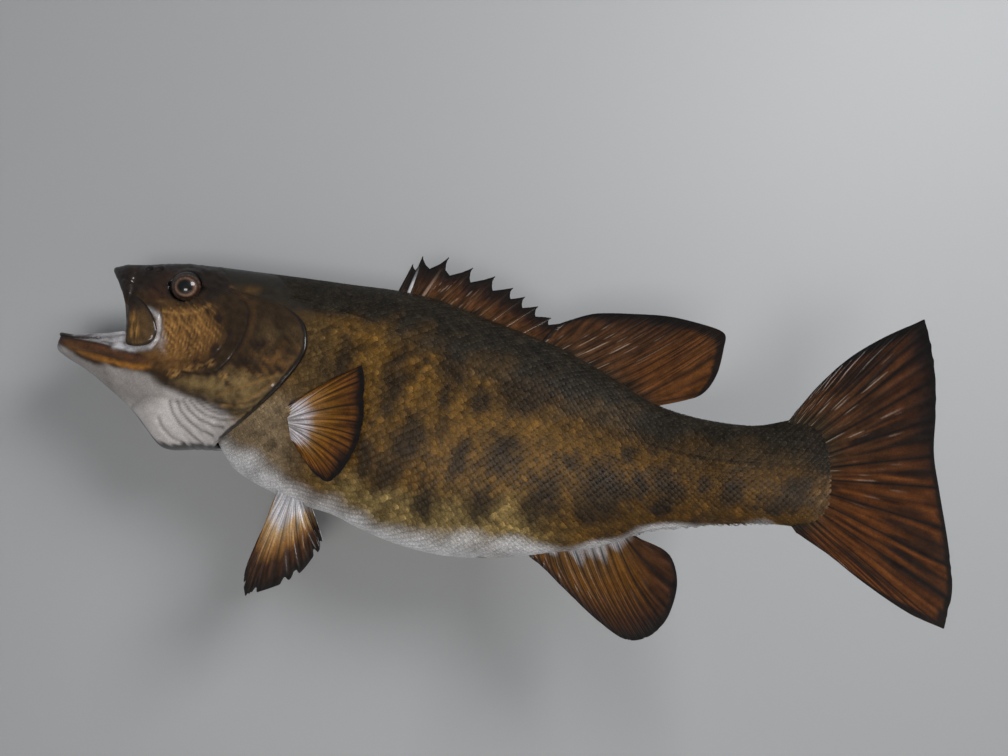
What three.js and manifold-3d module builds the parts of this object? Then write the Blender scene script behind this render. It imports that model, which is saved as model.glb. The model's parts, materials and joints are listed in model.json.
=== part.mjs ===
// A skin-mounted smallmouth bass, life size, hung on a wall with its head to the left.
//
// Row frame, millimetres: +X runs along the wall towards the tail, +Z is up and +Y points into
// the wall. The origin lies on the hanging block's back face, which rests on the wall, on the
// block's middle line and a little below its centre.
//
// The body is described along its midline, seen from above. A point of the fish is given by its
// station (distance along the midline from the tip of the snout), its offset to the fish's left
// (the side that faces the room) and its height. Heights are counted from the fish's own datum
// level, which passes through its widest line near the middle of the trunk.
import * as THREE from 'three';
import { mergeVertices } from 'three/addons/utils/BufferGeometryUtils.js';
import Module from 'manifold-3d';

// ---- Driving dimensions -------------------------------------------------------------------

// Midline: where the snout sits, and how the tail is kicked out into the room.
const SNOUT_X = -154.8;
const SNOUT_Y = -40.1;
const DATUM_LEVEL = -30;
const HEAD_TURN = 3;
const TAIL_TURN = 39;
const BEND_START = 110;
const BEND_END = 380;

// Heights and half-widths along the body, as [station, value] knots of smooth curves.
const BACK_HEIGHT = [
  [0, 74.8], [4, 75.9], [14, 76.5], [40, 77.7], [58, 76.2], [74, 74.4], [104, 70.9], [130, 67.5],
  [157, 64], [180, 58.4], [203, 49], [225, 40], [247, 30.4], [264, 20.5], [280, 10.3],
  [298, -1.4], [320, -9.2], [346, -13.5], [362, -11.5], [382, -8],
];
const BELLY_HEIGHT = [
  [58, -15], [64, -26], [71, -36.5], [89, -47.5], [108, -55.5], [124, -60.5], [141, -69],
  [160, -76.3], [181, -81.3], [200, -82.8], [222, -82], [241, -79.4], [268, -75.4], [290, -67.5],
  [304, -64.8], [329, -62], [352, -61], [366, -62], [382, -64],
];
const CHIN_HEIGHT = [
  [-28.9, 34.5], [-27, 29], [-21, 24], [-10, 17.2], [1.5, 7.8], [14, -3.6], [24, -16], [30, -23.4],
  [36, -25.8], [50, -25.6], [62, -26.2], [90, -27], [115, -27],
];
const WAIST_HEIGHT = [
  [18, 36], [32, 31], [50, 27], [80, 20], [113, 12], [150, 0], [180, -9], [210, -16], [240, -21],
  [270, -27.5], [300, -33], [330, -36], [382, -36],
];
const HEAD_HALF_WIDTH = [
  [18, 21], [30, 22.4], [47, 24.6], [62, 27.6], [82, 31.6], [102, 34.6], [116, 35.4],
];
const BODY_HALF_WIDTH = [
  [58, 24.2], [80, 28.2], [100, 31.4], [122, 34.4], [150, 37], [180, 38], [210, 36.4], [240, 31.6],
  [270, 24.6], [300, 17.4], [330, 12.2], [352, 9.4], [370, 6.4], [382, 4],
];
// How sharply each section closes: over 1 makes a keel, under 1 a flat.
const BACK_SHARPNESS = [[0, 0.78], [40, 0.78], [70, 0.9], [110, 1.08], [200, 1.14], [300, 1.1], [382, 1]];
const BELLY_SHARPNESS = [[58, 1], [110, 0.84], [200, 0.76], [300, 0.9], [382, 1]];
const CHIN_SHARPNESS = [[-28.9, 0.8], [18, 1], [40, 0.85], [60, 0.6], [76, 0.5], [116, 0.5]];

// Mouth: the upper lip and the lower lip are each a quarter of an ellipse, seen from the side,
// and they meet at the corner.
const MOUTH_CORNER = { station: 18, height: 36, halfWidth: 21 };
const UPPER_LIP_RISE = 39;
const LOWER_LIP_REACH = 46.9;
const CHIN_TIP = { lift: 2.6, from: 0.6, over: 0.35 };
const CORNER_SAG = { depth: 1.2, over: 0.3 };
const LIP = { thickness: 3, setBack: 1.5, roundness: 6 };
const GULLET = { station: 78, height: 27, halfWidth: 11, halfHeight: 13 };
const MOUTH_FLOOR = { dip: 11, deepest: 0.7 };

// Rear edge of the gill flap.
const FLAP_REAR = { station: 112.8, height: 27 };
const FLAP_TOP = { station: 75.5, height: 58.5, power: 3 };
const FLAP_BOTTOM = { station: 62, height: -24.5, power: 1.5 };
const NAPE = { station: 61.6, height: 75 };
const COVER_THICKNESS = 4.5;

// Where the trunk starts and ends, and the tail's root behind it with its rounded end.
const TRUNK = { start: 62, end: 298, lengths: 17 };
const TAIL_ROOT = { end: 374, lengths: 6, bulge: 6, bulgeReach: 40 };

// Cuts that part the head, as outlines of [station, height].
const COVER_OUTLINE = [
  [130, 66], [70, 66], [80, 57], [85, 50], [82.6, 42], [79.6, 30], [75, 21.6], [69.5, 15.8], [61, 12.4],
  [48, 7], [52, 3.6], [62, -0.6], [74, -0.8], [86, 4.6], [108, 14], [130, 16],
];
const JAW_OUTLINE = [
  [-45, 60], [-20, 46], [17.6, 36.4], [32, 25.4], [45, 15], [43, 9.6], [24, 12.2], [6, 18], [-12, 22],
  [-45, 25],
];
const THROAT_OUTLINE = [
  [-45, 25], [-12, 22], [6, 18], [24, 12.2], [43, 9.6], [48, 7], [52, 3.6], [62, -0.6], [74, -0.8],
  [86, 4.6], [108, 14], [130, 16], [130, -60], [-45, -60],
];
const MAXILLA_OUTLINE = [
  [12.5, 60], [18.3, 49], [18.2, 40], [17.6, 32], [18.8, 29], [28.6, 28.6], [32, 32], [33, 37],
  [30.6, 43.6], [26.6, 50.4], [20, 58.6],
];
const MAXILLA = { thickness: 1.8, from: 6 };

const EYE = { station: 46.8, height: 60.4, radius: 9.2, sunk: 6.2, columns: 14, rows: 8 };
const TONGUE = {
  station: 16, height: 20.5, length: 50, halfWidth: 8.5, halfHeight: 4.5, pitch: 9, columns: 12, rows: 6,
};

// Fins. All are thin blades; these are their thicknesses, and how deep a root starts in the body.
const MEDIAN_FIN_ROOT = 3.2;
const PAIRED_FIN_ROOT = 4;
const FIN_EDGE = 0.9;
const FIN_BURIED = 3;

// Tips of the dorsal spines as [station, height], and the web's depth below each tip.
const SPINE_TIPS = [
  [164.8, 78.8], [170.4, 83.4], [185, 82.6], [198.7, 76.3], [211.2, 71], [221.3, 64.1],
  [228, 58.8], [235.3, 53.1], [242.5, 46.4],
];
const SPINE_WEB_DROP = { first: 11.5, last: 4.5 };
const SPINY_FIN_START = 157;
const SPINE_THICKNESS = 1.6;
const SPINE_LEAN = { length: 9, over: 20 };

// The other fins' edges, as [station, height], or as [station, left, height] for the paired ones.
const ROOT_CROWDING = 0.9;
const SOFT_DORSAL = {
  front: 245.6,
  rear: 297.5,
  edge: [
    [245.6, 42.4], [254, 44.9], [268, 47.4], [290, 45.5], [308, 42.5], [327, 35.9], [334, 31.6],
    [333.4, 25], [329.6, 12], [323, 3], [314, -0.4], [299, -0.6],
  ],
};
const ANAL_FIN = {
  front: 229,
  rear: 284,
  edge: [
    [230, -81.5], [238, -87.6], [250, -99], [266, -112.6], [279, -120.4], [289, -119.8], [297.6, -114],
    [303.4, -105], [307, -91.5], [304.6, -79.4], [297, -73.4], [285, -70.6],
  ],
};
const CAUDAL_FIN = {
  root: { station: 364, height: -37, bulge: 8, halfHeight: 24 },
  edge: [
    [366, -8], [377.2, 4.4], [390, 15.4], [404, 23.4], [421, 30.4], [423.4, 14.4], [423.4, -6],
    [421.4, -27], [422.6, -44], [424.6, -66], [425, -84], [421.2, -100.3], [408, -95], [392, -84.4],
    [377, -72.6], [364, -64],
  ],
};
// The left pectoral fin fans out into the room; the right one lies closer to the flank.
const PECTORAL_FIN = {
  root: { station: 107.6, slant: 2, left: 28.4, top: -2.6, bottom: -19.6 },
  facing: [-0.25, 0.97, 0],
  leftEdge: [
    [111, 34, -1], [126, 40, 8.4], [142.4, 46, 16.4], [144.4, 47, 8], [144.4, 47, -8.4], [142.8, 46.4, -18],
    [139, 46, -27.4], [132, 45, -37], [125.6, 43, -40.4], [119, 40, -37.6], [112, 36, -29], [108, 33, -22],
  ],
  flattening: 0.55,
  flatFrom: 32,
};
const PELVIC_FIN = {
  root: { front: 96, rear: 108.6, left: 9.4, top: -46.4, bottom: -51.6 },
  facing: [0.1, 0.96, 0.24],
  leftEdge: [
    [94.6, 12, -51], [88.6, 17, -71], [83.8, 20.6, -84], [83, 22, -92.6], [84.2, 23, -98.6],
    [90, 22.6, -97], [101, 21, -93.4], [110, 18.6, -88.4], [116, 16.4, -81], [119.6, 14.6, -75],
    [111, 11, -57],
  ],
  sweep: { right: 9, length: 50 },
};

// The block that hangs the fish, and the steel hanger let into its back.
const BLOCK = { length: 64, bottom: -12, top: 24, depth: 34, edge: 2 };
const HANGER = { length: 50, height: 14, thickness: 1.5, centreHeight: 15, bore: 4, slot: 2, slotRise: 5 };
const HANGER_POCKET = { radius: 4.8, rise: 4, depth: 10 };
const SCREW = {
  spacing: 18, headRadius: 3.4, headDepth: 1.2, shankRadius: 1.7, shankLength: 14, point: 2, flat: 0.4,
};

// Gap between neighbouring solids, and the number of corners down each side of a ring.
const JOINT_GAP = 0.3;
const SIDE_STEPS = 16;

// ---- Small helpers --------------------------------------------------------------------------

const wasm = await Module();
wasm.setup();

const mix = (a, b, t) => a + (b - a) * t;
const clamp01 = (t) => Math.min(1, Math.max(0, t));
const smooth = (t) => clamp01(t) ** 2 * (3 - 2 * clamp01(t));

/** Smooth curve through [station, value] knots, flat past both ends. */
function track(knots) {
  const slope = knots.map((knot, i) => {
    const before = knots[Math.max(0, i - 1)];
    const after = knots[Math.min(knots.length - 1, i + 1)];
    return (after[1] - before[1]) / (after[0] - before[0]);
  });
  return (station) => {
    const last = knots.length - 1;
    if (station <= knots[0][0]) return knots[0][1];
    if (station >= knots[last][0]) return knots[last][1];
    const i = knots.findIndex((knot) => knot[0] > station) - 1;
    const span = knots[i + 1][0] - knots[i][0];
    const t = (station - knots[i][0]) / span;
    const rise = t * t * (3 - 2 * t);
    const leave = t * (1 - t) ** 2 * span * slope[i];
    const arrive = t * t * (1 - t) * span * slope[i + 1];
    return mix(knots[i][1], knots[i + 1][1], rise) + leave - arrive;
  };
}

const back = track(BACK_HEIGHT);
const belly = track(BELLY_HEIGHT);
const chin = track(CHIN_HEIGHT);
const waist = track(WAIST_HEIGHT);
const headHalfWidth = track(HEAD_HALF_WIDTH);
const bodyHalfWidth = track(BODY_HALF_WIDTH);
const backSharpness = track(BACK_SHARPNESS);
const bellySharpness = track(BELLY_SHARPNESS);
const chinSharpness = track(CHIN_SHARPNESS);

/** Heading of the midline: the angle by which it leaves the wall's direction, in radians. */
function heading(station) {
  const bend = smooth((station - BEND_START) / (BEND_END - BEND_START));
  return THREE.MathUtils.degToRad(mix(HEAD_TURN, TAIL_TURN, bend));
}

/** The midline's points, one each millimetre from MIDLINE_FROM. */
const MIDLINE_FROM = -60;
const MIDLINE_TO = 460;
const midline = (() => {
  const points = [[0, 0]];
  for (let station = MIDLINE_FROM; station < MIDLINE_TO; station += 1) {
    const turn = heading(station + 0.5);
    const [x, y] = points.at(-1);
    points.push([x + Math.cos(turn), y - Math.sin(turn)]);
  }
  const [x0, y0] = points[-MIDLINE_FROM];
  return points.map(([x, y]) => [x - x0 + SNOUT_X, y - y0 + SNOUT_Y]);
})();

/** A point of the fish in the row frame, from its station, offset to the left and height. */
function place(station, left, height) {
  const step = Math.min(midline.length - 2, Math.max(0, Math.floor(station - MIDLINE_FROM)));
  const t = station - MIDLINE_FROM - step;
  const turn = heading(station);
  const x = mix(midline[step][0], midline[step + 1][0], t) - Math.sin(turn) * left;
  const y = mix(midline[step][1], midline[step + 1][1], t) - Math.cos(turn) * left;
  return [x, y, height + DATUM_LEVEL];
}

/** A closed solid from points and triangles, turned the right way out. */
function solidOf(points, triangles) {
  let volume = 0;
  for (const [a, b, c] of triangles) {
    const [p, q, r] = [points[a], points[b], points[c]].map((v) => new THREE.Vector3(...v));
    volume += p.dot(q.cross(r));
  }
  const faces = volume > 0 ? triangles : triangles.map(([a, b, c]) => [a, c, b]);
  return new wasm.Manifold(new wasm.Mesh({
    numProp: 3,
    vertProperties: new Float32Array(points.flat()),
    triVerts: new Uint32Array(faces.flat()),
  }));
}

/** A closed solid from a three.js geometry, its shared corners merged. */
function solidOfGeometry(geometry) {
  const bare = geometry.clone();
  bare.deleteAttribute('normal');
  bare.deleteAttribute('uv');
  const { attributes, index } = mergeVertices(bare, 1e-4);
  const points = Array.from({ length: attributes.position.count }, (_, i) => (
    [0, 1, 2].map((k) => attributes.position.getComponent(i, k))
  ));
  const triangles = Array.from({ length: index.count / 3 }, (_, i) => (
    [0, 1, 2].map((k) => index.getX(3 * i + k))
  ));
  return solidOf(points, triangles);
}

/** The largest separate piece of a solid, without crumbs that a cut leaves. */
function mainPiece(solid) {
  const pieces = solid.decompose();
  return pieces.reduce((best, piece) => (piece.volume() > best.volume() ? piece : best));
}

function geometryOf(solid) {
  const mesh = solid.getMesh();
  const geometry = new THREE.BufferGeometry();
  const corners = [];
  for (let i = 0; i < mesh.numVert; i += 1) {
    const at = i * mesh.numProp;
    corners.push(...mesh.vertProperties.slice(at, at + 3));
  }
  geometry.setAttribute('position', new THREE.Float32BufferAttribute(corners, 3));
  geometry.setIndex([...mesh.triVerts]);
  geometry.computeVertexNormals();
  return geometry;
}

/** Joins closed rings of equal length, closing both ends with a fan to the ring's middle. */
function loft(rings) {
  const count = rings[0].length;
  const points = rings.flat();
  const triangles = [];
  for (let r = 0; r < rings.length - 1; r += 1) {
    for (let i = 0; i < count; i += 1) {
      const a = r * count + i;
      const b = r * count + (i + 1) % count;
      triangles.push([a, b, a + count], [b, b + count, a + count]);
    }
  }
  const middle = (ring) => [0, 1, 2].map((k) => ring.reduce((sum, p) => sum + p[k], 0) / count);
  const first = points.push(middle(rings[0])) - 1;
  const last = points.push(middle(rings.at(-1))) - 1;
  const lastRing = (rings.length - 1) * count;
  for (let i = 0; i < count; i += 1) {
    const next = (i + 1) % count;
    triangles.push([first, next, i], [last, lastRing + i, lastRing + next]);
  }
  return solidOf(points, triangles);
}

/** One ring from a function of the turn (0 at the back, 1 at the belly) and the side (1 left). */
function ringOf(pointAt) {
  const ring = [];
  for (let i = 0; i <= SIDE_STEPS; i += 1) ring.push(pointAt(i / SIDE_STEPS, 1));
  for (let i = SIDE_STEPS - 1; i > 0; i -= 1) ring.push(pointAt(i / SIDE_STEPS, -1));
  return ring;
}

// ---- Body -----------------------------------------------------------------------------------

/** Point of the trunk's surface: turn 0 is the back and 1 the belly; grow swells it. */
function bodyPoint(station, turn, side, grow = 0) {
  const angle = Math.PI * turn;
  const upper = turn < 0.5;
  const sharpness = upper ? backSharpness(station) : bellySharpness(station);
  const reach = upper ? back(station) - waist(station) : waist(station) - belly(station);
  const left = side * (bodyHalfWidth(station) + grow) * Math.sin(angle) ** sharpness;
  return place(station, left, waist(station) + (reach + grow) * Math.cos(angle));
}

/** The body between two stations; bulge makes its rear end round, as the tail's root is. */
function bodyLength(from, to, steps, grow = 0, bulge = 0) {
  const rings = [];
  for (let step = 0; step <= steps; step += 1) {
    const station = mix(from, to, step / steps);
    const nearEnd = smooth((station - to) / TAIL_ROOT.bulgeReach + 1);
    rings.push(ringOf((turn, side) => {
      const push = bulge * Math.sin(Math.PI * turn) * nearEnd;
      const point = bodyPoint(station, turn, side, grow);
      const ahead = place(station + push, 0, 0);
      const here = place(station, 0, 0);
      return [point[0] + ahead[0] - here[0], point[1] + ahead[1] - here[1], point[2]];
    }));
  }
  return loft(rings);
}

// ---- Head -----------------------------------------------------------------------------------

/** Station at which the lip lies for a turn of the head's ring. */
function lipStation(turn) {
  if (turn < 0.5) return MOUTH_CORNER.station * Math.sin(Math.PI * turn);
  return MOUTH_CORNER.station - LOWER_LIP_REACH * Math.sin(Math.PI * (turn - 0.5));
}

/** Half-width, middle height and far height of the head's section, above or below its waist. */
function headSection(station, upper) {
  const corner = MOUTH_CORNER;
  const behind = station >= corner.station;
  if (upper) {
    const ahead = clamp01(station / corner.station);
    return {
      halfWidth: behind ? headHalfWidth(station) : corner.halfWidth * Math.sqrt(ahead),
      middle: behind ? waist(station) : corner.height + UPPER_LIP_RISE * Math.sqrt(1 - ahead ** 2),
      far: back(station),
    };
  }
  const reach = clamp01((corner.station - station) / LOWER_LIP_REACH);
  const sag = CORNER_SAG.depth * smooth(reach / CORNER_SAG.over);
  const lift = CHIN_TIP.lift * smooth((reach - CHIN_TIP.from) / CHIN_TIP.over) - sag;
  return {
    halfWidth: behind ? headHalfWidth(station) : corner.halfWidth * Math.sqrt(1 - reach ** 2),
    middle: behind ? waist(station) : corner.height + lift,
    far: chin(station),
  };
}

/** Point of the head's surface. Ahead of the mouth's corner each jaw closes on its own lip. */
function headPoint(station, turn, side, grow = 0) {
  const upper = turn < 0.5;
  const fromFar = upper ? turn : 1 - turn;
  const ahead = station < MOUTH_CORNER.station;
  let lipTurn = 0.5;
  if (ahead && upper) lipTurn = Math.asin(clamp01(station / MOUTH_CORNER.station)) / Math.PI;
  if (ahead && !upper) {
    lipTurn = Math.acos(clamp01((MOUTH_CORNER.station - station) / LOWER_LIP_REACH)) / Math.PI;
  }
  const angle = (Math.PI / 2) * (lipTurn > 0 ? Math.min(1, fromFar / lipTurn) : 1);
  const { halfWidth, middle, far } = headSection(station, upper);
  const sharpness = upper ? backSharpness(station) : chinSharpness(station);
  const swell = upper ? grow : -grow;
  const left = side * (halfWidth + grow) * Math.sin(angle) ** sharpness;
  return place(station, left, middle + (far - middle + swell) * Math.cos(angle));
}

/** Station of the gill flap's rear edge at a height. */
function flapStation(height) {
  const end = height > FLAP_REAR.height ? FLAP_TOP : FLAP_BOTTOM;
  const t = clamp01((height - FLAP_REAR.height) / (end.height - FLAP_REAR.height));
  const aboveFlap = clamp01((height - FLAP_TOP.height) / (NAPE.height - FLAP_TOP.height));
  return mix(mix(FLAP_REAR.station, end.station, t ** end.power), NAPE.station, aboveFlap);
}

const SEARCH_ROUNDS = 12;
const SEARCH_STEP = 0.6;

/** Station where the head's surface meets the flap's rear edge, for a turn of the ring. */
function headEnd(turn) {
  let station = FLAP_REAR.station;
  for (let round = 0; round < SEARCH_ROUNDS; round += 1) {
    const height = headPoint(station, turn, 1)[2] - DATUM_LEVEL;
    station = mix(station, flapStation(height), SEARCH_STEP);
  }
  return station;
}

// Rings of the head and of the mouth's lining, and how they crowd towards the lip.
const HEAD_RINGS = { count: 11, crowding: 1.5 };
const CAVITY_RINGS = { count: 5, crowding: 1.3 };
const HEAD_ROOT = { ahead: 2, depth: 0.9 };

/** The head with its jaws, gill covers and throat in one, hollow where the mouth is open. */
function wholeHead(grow = 0, hollow = true) {
  const rings = [];
  if (hollow) {
    for (let ring = CAVITY_RINGS.count; ring >= 1; ring -= 1) {
      const inward = (ring / CAVITY_RINGS.count) ** CAVITY_RINGS.crowding;
      rings.push(ringOf((turn, side) => mouthPoint(turn, side, inward)));
    }
  }
  for (let ring = 0; ring <= HEAD_RINGS.count; ring += 1) {
    const along = (ring / HEAD_RINGS.count) ** HEAD_RINGS.crowding;
    rings.push(ringOf((turn, side) => {
      const station = mix(lipStation(turn), headEnd(turn), along);
      return headPoint(station, turn, side, grow);
    }));
  }
  const root = place(TRUNK.start - HEAD_ROOT.ahead, 0, waist(TRUNK.start));
  rings.push(ringOf((turn, side) => {
    const rim = headPoint(headEnd(turn), turn, side, grow);
    return rim.map((value, k) => mix(value, root[k], HEAD_ROOT.depth));
  }));
  return loft(rings);
}

/** Point of the mouth's lining, from just inside the lip (0) to the gullet (1). */
function mouthPoint(turn, side, inward) {
  const angle = Math.PI * turn;
  const station = lipStation(turn);
  const lip = headSection(station, turn < 0.5);
  const lipHeight = lip.middle - (turn < 0.5 ? LIP.thickness : LIP.thickness / 3);
  const start = Math.min(1, inward * LIP.roundness);
  const lipLeft = Math.max(0, lip.halfWidth - LIP.thickness * start);
  const hollow = Math.sin(Math.PI * inward ** MOUTH_FLOOR.deepest);
  const dip = MOUTH_FLOOR.dip * hollow * smooth((turn - 0.5) * 2);
  const left = mix(lipLeft, GULLET.halfWidth * Math.sin(angle), inward);
  const height = mix(lipHeight, GULLET.height + GULLET.halfHeight * Math.cos(angle), inward) - dip;
  return place(mix(station + LIP.setBack, GULLET.station, inward), side * left, height);
}

/** Everything over an outline of [station, height], between two offsets to the left. */
function through(outline, leftFrom, leftTo) {
  const shape = new THREE.Shape(outline.map((corner) => new THREE.Vector2(...corner)));
  const depth = leftTo - leftFrom;
  const geometry = new THREE.ExtrudeGeometry(shape, { depth, bevelEnabled: false });
  const position = geometry.attributes.position;
  const points = [];
  for (let i = 0; i < position.count; i += 1) {
    points.push(place(position.getX(i), position.getZ(i) + leftFrom, position.getY(i)));
  }
  position.array.set(points.flat());
  return solidOfGeometry(geometry);
}

// Least share of a corner's bisector that counts, so that a sharp corner isn't thrown far out.
const SHARP_CORNER = 0.4;

/** An outline moved outwards by a distance, corner by corner. */
function offsetOutline(outline, distance) {
  const count = outline.length;
  const area = outline.reduce((sum, [x, z], i) => {
    const [nextX, nextZ] = outline[(i + 1) % count];
    return sum + x * nextZ - nextX * z;
  }, 0);
  const out = Math.sign(area) * distance;
  return outline.map((corner, i) => {
    const here = new THREE.Vector2(...corner);
    const into = here.clone().sub(new THREE.Vector2(...outline[(i + count - 1) % count])).normalize();
    const away = new THREE.Vector2(...outline[(i + 1) % count]).sub(here).normalize();
    const bisector = new THREE.Vector2(into.y + away.y, -into.x - away.x).normalize();
    const stretch = 1 / Math.max(SHARP_CORNER, bisector.dot(new THREE.Vector2(into.y, -into.x)));
    return [here.x + bisector.x * out * stretch, here.y + bisector.y * out * stretch];
  });
}

// ---- Fins -----------------------------------------------------------------------------------

/**
 * A blade between a root line, a function of 0..1, and the corners of its edge, all given as
 * [station, left, height]. It is thick at the root and thin at the edge.
 */
function blade({ root, edge, rows, rootThickness, edgeThickness, facing }) {
  const front = [];
  const rear = [];
  const columns = edge.length - 1;
  for (let c = 0; c <= columns; c += 1) {
    const foot = root(c / columns);
    for (let r = 0; r <= rows; r += 1) {
      const v = r / rows;
      const half = mix(rootThickness, edgeThickness, v) / 2;
      const spot = foot.map((value, k) => mix(value, edge[c][k], v));
      front.push(place(...spot.map((value, k) => value + facing[k] * half)));
      rear.push(place(...spot.map((value, k) => value - facing[k] * half)));
    }
  }
  const points = [...front, ...rear];
  const back0 = front.length;
  const triangles = [];
  const quad = (a, b, c, d) => triangles.push([a, b, c], [a, c, d]);
  const at = (c, r) => c * (rows + 1) + r;
  for (let c = 0; c < columns; c += 1) {
    for (let r = 0; r < rows; r += 1) {
      quad(at(c, r), at(c + 1, r), at(c + 1, r + 1), at(c, r + 1));
      quad(back0 + at(c, r), back0 + at(c, r + 1), back0 + at(c + 1, r + 1), back0 + at(c + 1, r));
    }
    quad(at(c, 0), back0 + at(c, 0), back0 + at(c + 1, 0), at(c + 1, 0));
    quad(at(c, rows), at(c + 1, rows), back0 + at(c + 1, rows), back0 + at(c, rows));
  }
  for (let r = 0; r < rows; r += 1) {
    quad(at(0, r), at(0, r + 1), back0 + at(0, r + 1), back0 + at(0, r));
    quad(at(columns, r), back0 + at(columns, r), back0 + at(columns, r + 1), at(columns, r + 1));
  }
  return solidOf(points, triangles);
}

/** A fin in the fish's middle plane, from its root line and its edge as [station, height]. */
function medianFin(root, edge, rows) {
  return blade({
    root,
    edge: edge.map(([station, height]) => [station, 0, height]),
    rows,
    rootThickness: MEDIAN_FIN_ROOT,
    edgeThickness: FIN_EDGE,
    facing: [0, 1, 0],
  });
}

/** The spiny dorsal fin: a web that hangs from tip to tip of its spines. */
function spinyDorsal() {
  const edge = [[SPINY_FIN_START, back(SPINY_FIN_START)]];
  SPINE_TIPS.forEach(([station, height], i) => {
    const drop = mix(SPINE_WEB_DROP.first, SPINE_WEB_DROP.last, i / (SPINE_TIPS.length - 1));
    edge.push([station, height], [station + SPINE_THICKNESS, height - drop]);
  });
  const root = (u) => {
    const [station] = edge[Math.round(u * (edge.length - 1))];
    const lean = SPINE_LEAN.length * smooth((station - SPINY_FIN_START) / SPINE_LEAN.over);
    return [station - lean, 0, back(station - lean) - FIN_BURIED];
  };
  return medianFin(root, edge, 1);
}

/** The soft dorsal fin, with its rounded rear lobe. */
function softDorsal() {
  const root = (u) => {
    const station = mix(SOFT_DORSAL.front, SOFT_DORSAL.rear, u ** ROOT_CROWDING);
    return [station, 0, back(station) - FIN_BURIED];
  };
  return medianFin(root, SOFT_DORSAL.edge, 3);
}

/** The anal fin, a rounded lobe under the tail's root. */
function analFin() {
  const root = (u) => {
    const station = mix(ANAL_FIN.front, ANAL_FIN.rear, u ** ROOT_CROWDING);
    return [station, 0, belly(station) + FIN_BURIED];
  };
  return medianFin(root, ANAL_FIN.edge, 3);
}

/** The tail fin, a forked fan on the round end of the tail's root. */
function caudalFin() {
  const { station, height, bulge, halfHeight } = CAUDAL_FIN.root;
  const root = (u) => {
    const angle = Math.PI * (0.5 - u);
    return [station + bulge * Math.cos(angle), 0, height + halfHeight * Math.sin(angle)];
  };
  return medianFin(root, CAUDAL_FIN.edge, 4);
}

/** A pectoral fin, a round fan that stands on a short root behind the gill flap. */
function pectoralFin(side) {
  const { root: foot, facing, leftEdge, flattening, flatFrom } = PECTORAL_FIN;
  const spread = side > 0 ? 1 : flattening;
  return blade({
    root: (u) => [foot.station - foot.slant * u, side * foot.left, mix(foot.top, foot.bottom, u)],
    edge: leftEdge.map(([station, left, height]) => (
      [station, side * (flatFrom + (left - flatFrom) * spread), height]
    )),
    rows: 3,
    rootThickness: PAIRED_FIN_ROOT,
    edgeThickness: FIN_EDGE,
    facing: [facing[0] * side, facing[1], facing[2]],
  });
}

/** A pelvic fin, spread down and out from the belly; the right one is swept a little forward. */
function pelvicFin(side) {
  const { root: foot, facing, leftEdge, sweep } = PELVIC_FIN;
  const swept = side > 0 ? 0 : sweep.right;
  return blade({
    root: (u) => [mix(foot.front, foot.rear, u), side * foot.left, mix(foot.top, foot.bottom, u)],
    edge: leftEdge.map(([station, left, height]) => (
      [station + swept * (1 + height / sweep.length), side * left, height]
    )),
    rows: 3,
    rootThickness: PAIRED_FIN_ROOT,
    edgeThickness: FIN_EDGE,
    facing: [facing[0], facing[1], facing[2] * side],
  });
}

// ---- Hanging block --------------------------------------------------------------------------

/** A plain box with its corners at low and high. */
function boxSolid(low, high) {
  const size = high.map((value, k) => value - low[k]);
  const box = new THREE.BoxGeometry(...size);
  box.translate(...low.map((value, k) => value + size[k] / 2));
  return solidOfGeometry(box);
}

/** A round bar along Y, from one depth to another. */
function barSolid(x, z, radius, yFrom, yTo, sides = 16) {
  const bar = new THREE.CylinderGeometry(radius, radius, yTo - yFrom, sides);
  bar.translate(x, (yFrom + yTo) / 2, z);
  return solidOfGeometry(bar);
}

const blockLow = [-BLOCK.length / 2, -BLOCK.depth, BLOCK.bottom];
const blockHigh = [BLOCK.length / 2, 0, BLOCK.top];

/** The wooden block, its back on the wall, with a pocket behind the hanger's keyhole. */
function hangingBlock() {
  const edge = BLOCK.edge;
  const half = BLOCK.length / 2;
  const outline = new THREE.Shape([
    [edge - half, BLOCK.bottom], [half - edge, BLOCK.bottom], [half, BLOCK.bottom + edge],
    [half, BLOCK.top - edge], [half - edge, BLOCK.top], [edge - half, BLOCK.top],
    [-half, BLOCK.top - edge], [-half, BLOCK.bottom + edge],
  ].map(([x, z]) => new THREE.Vector2(x, z)));
  const bar = new THREE.ExtrudeGeometry(outline, { depth: BLOCK.depth, bevelEnabled: false });
  bar.rotateX(Math.PI / 2);
  const body = solidOfGeometry(bar);
  return body.subtract(hangerRecess()).subtract(hangerPocket()).subtract(screwHoles());
}

/** The shallow seat that lets the hanger lie flush with the block's back. */
function hangerRecess() {
  const gap = JOINT_GAP;
  const halfLength = HANGER.length / 2 + gap;
  const halfHeight = HANGER.height / 2 + gap;
  const low = [-halfLength, -HANGER.thickness - gap, HANGER.centreHeight - halfHeight];
  return boxSolid(low, [halfLength, 1, HANGER.centreHeight + halfHeight]);
}

/** The pocket that a wall screw's head moves in, behind the keyhole. */
function hangerPocket() {
  const { radius, rise, depth } = HANGER_POCKET;
  const floor = -HANGER.thickness - depth;
  const low = barSolid(0, HANGER.centreHeight - HANGER.slotRise / 2, radius, floor, 1);
  const high = barSolid(0, HANGER.centreHeight + rise - HANGER.slotRise / 2, radius, floor, 1);
  return low.add(high);
}

function screwHoles() {
  const reach = -HANGER.thickness - SCREW.shankLength - 1;
  const hole = (x) => barSolid(x, HANGER.centreHeight, SCREW.shankRadius + JOINT_GAP, reach, 1, 12);
  return hole(-SCREW.spacing).add(hole(SCREW.spacing));
}

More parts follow.
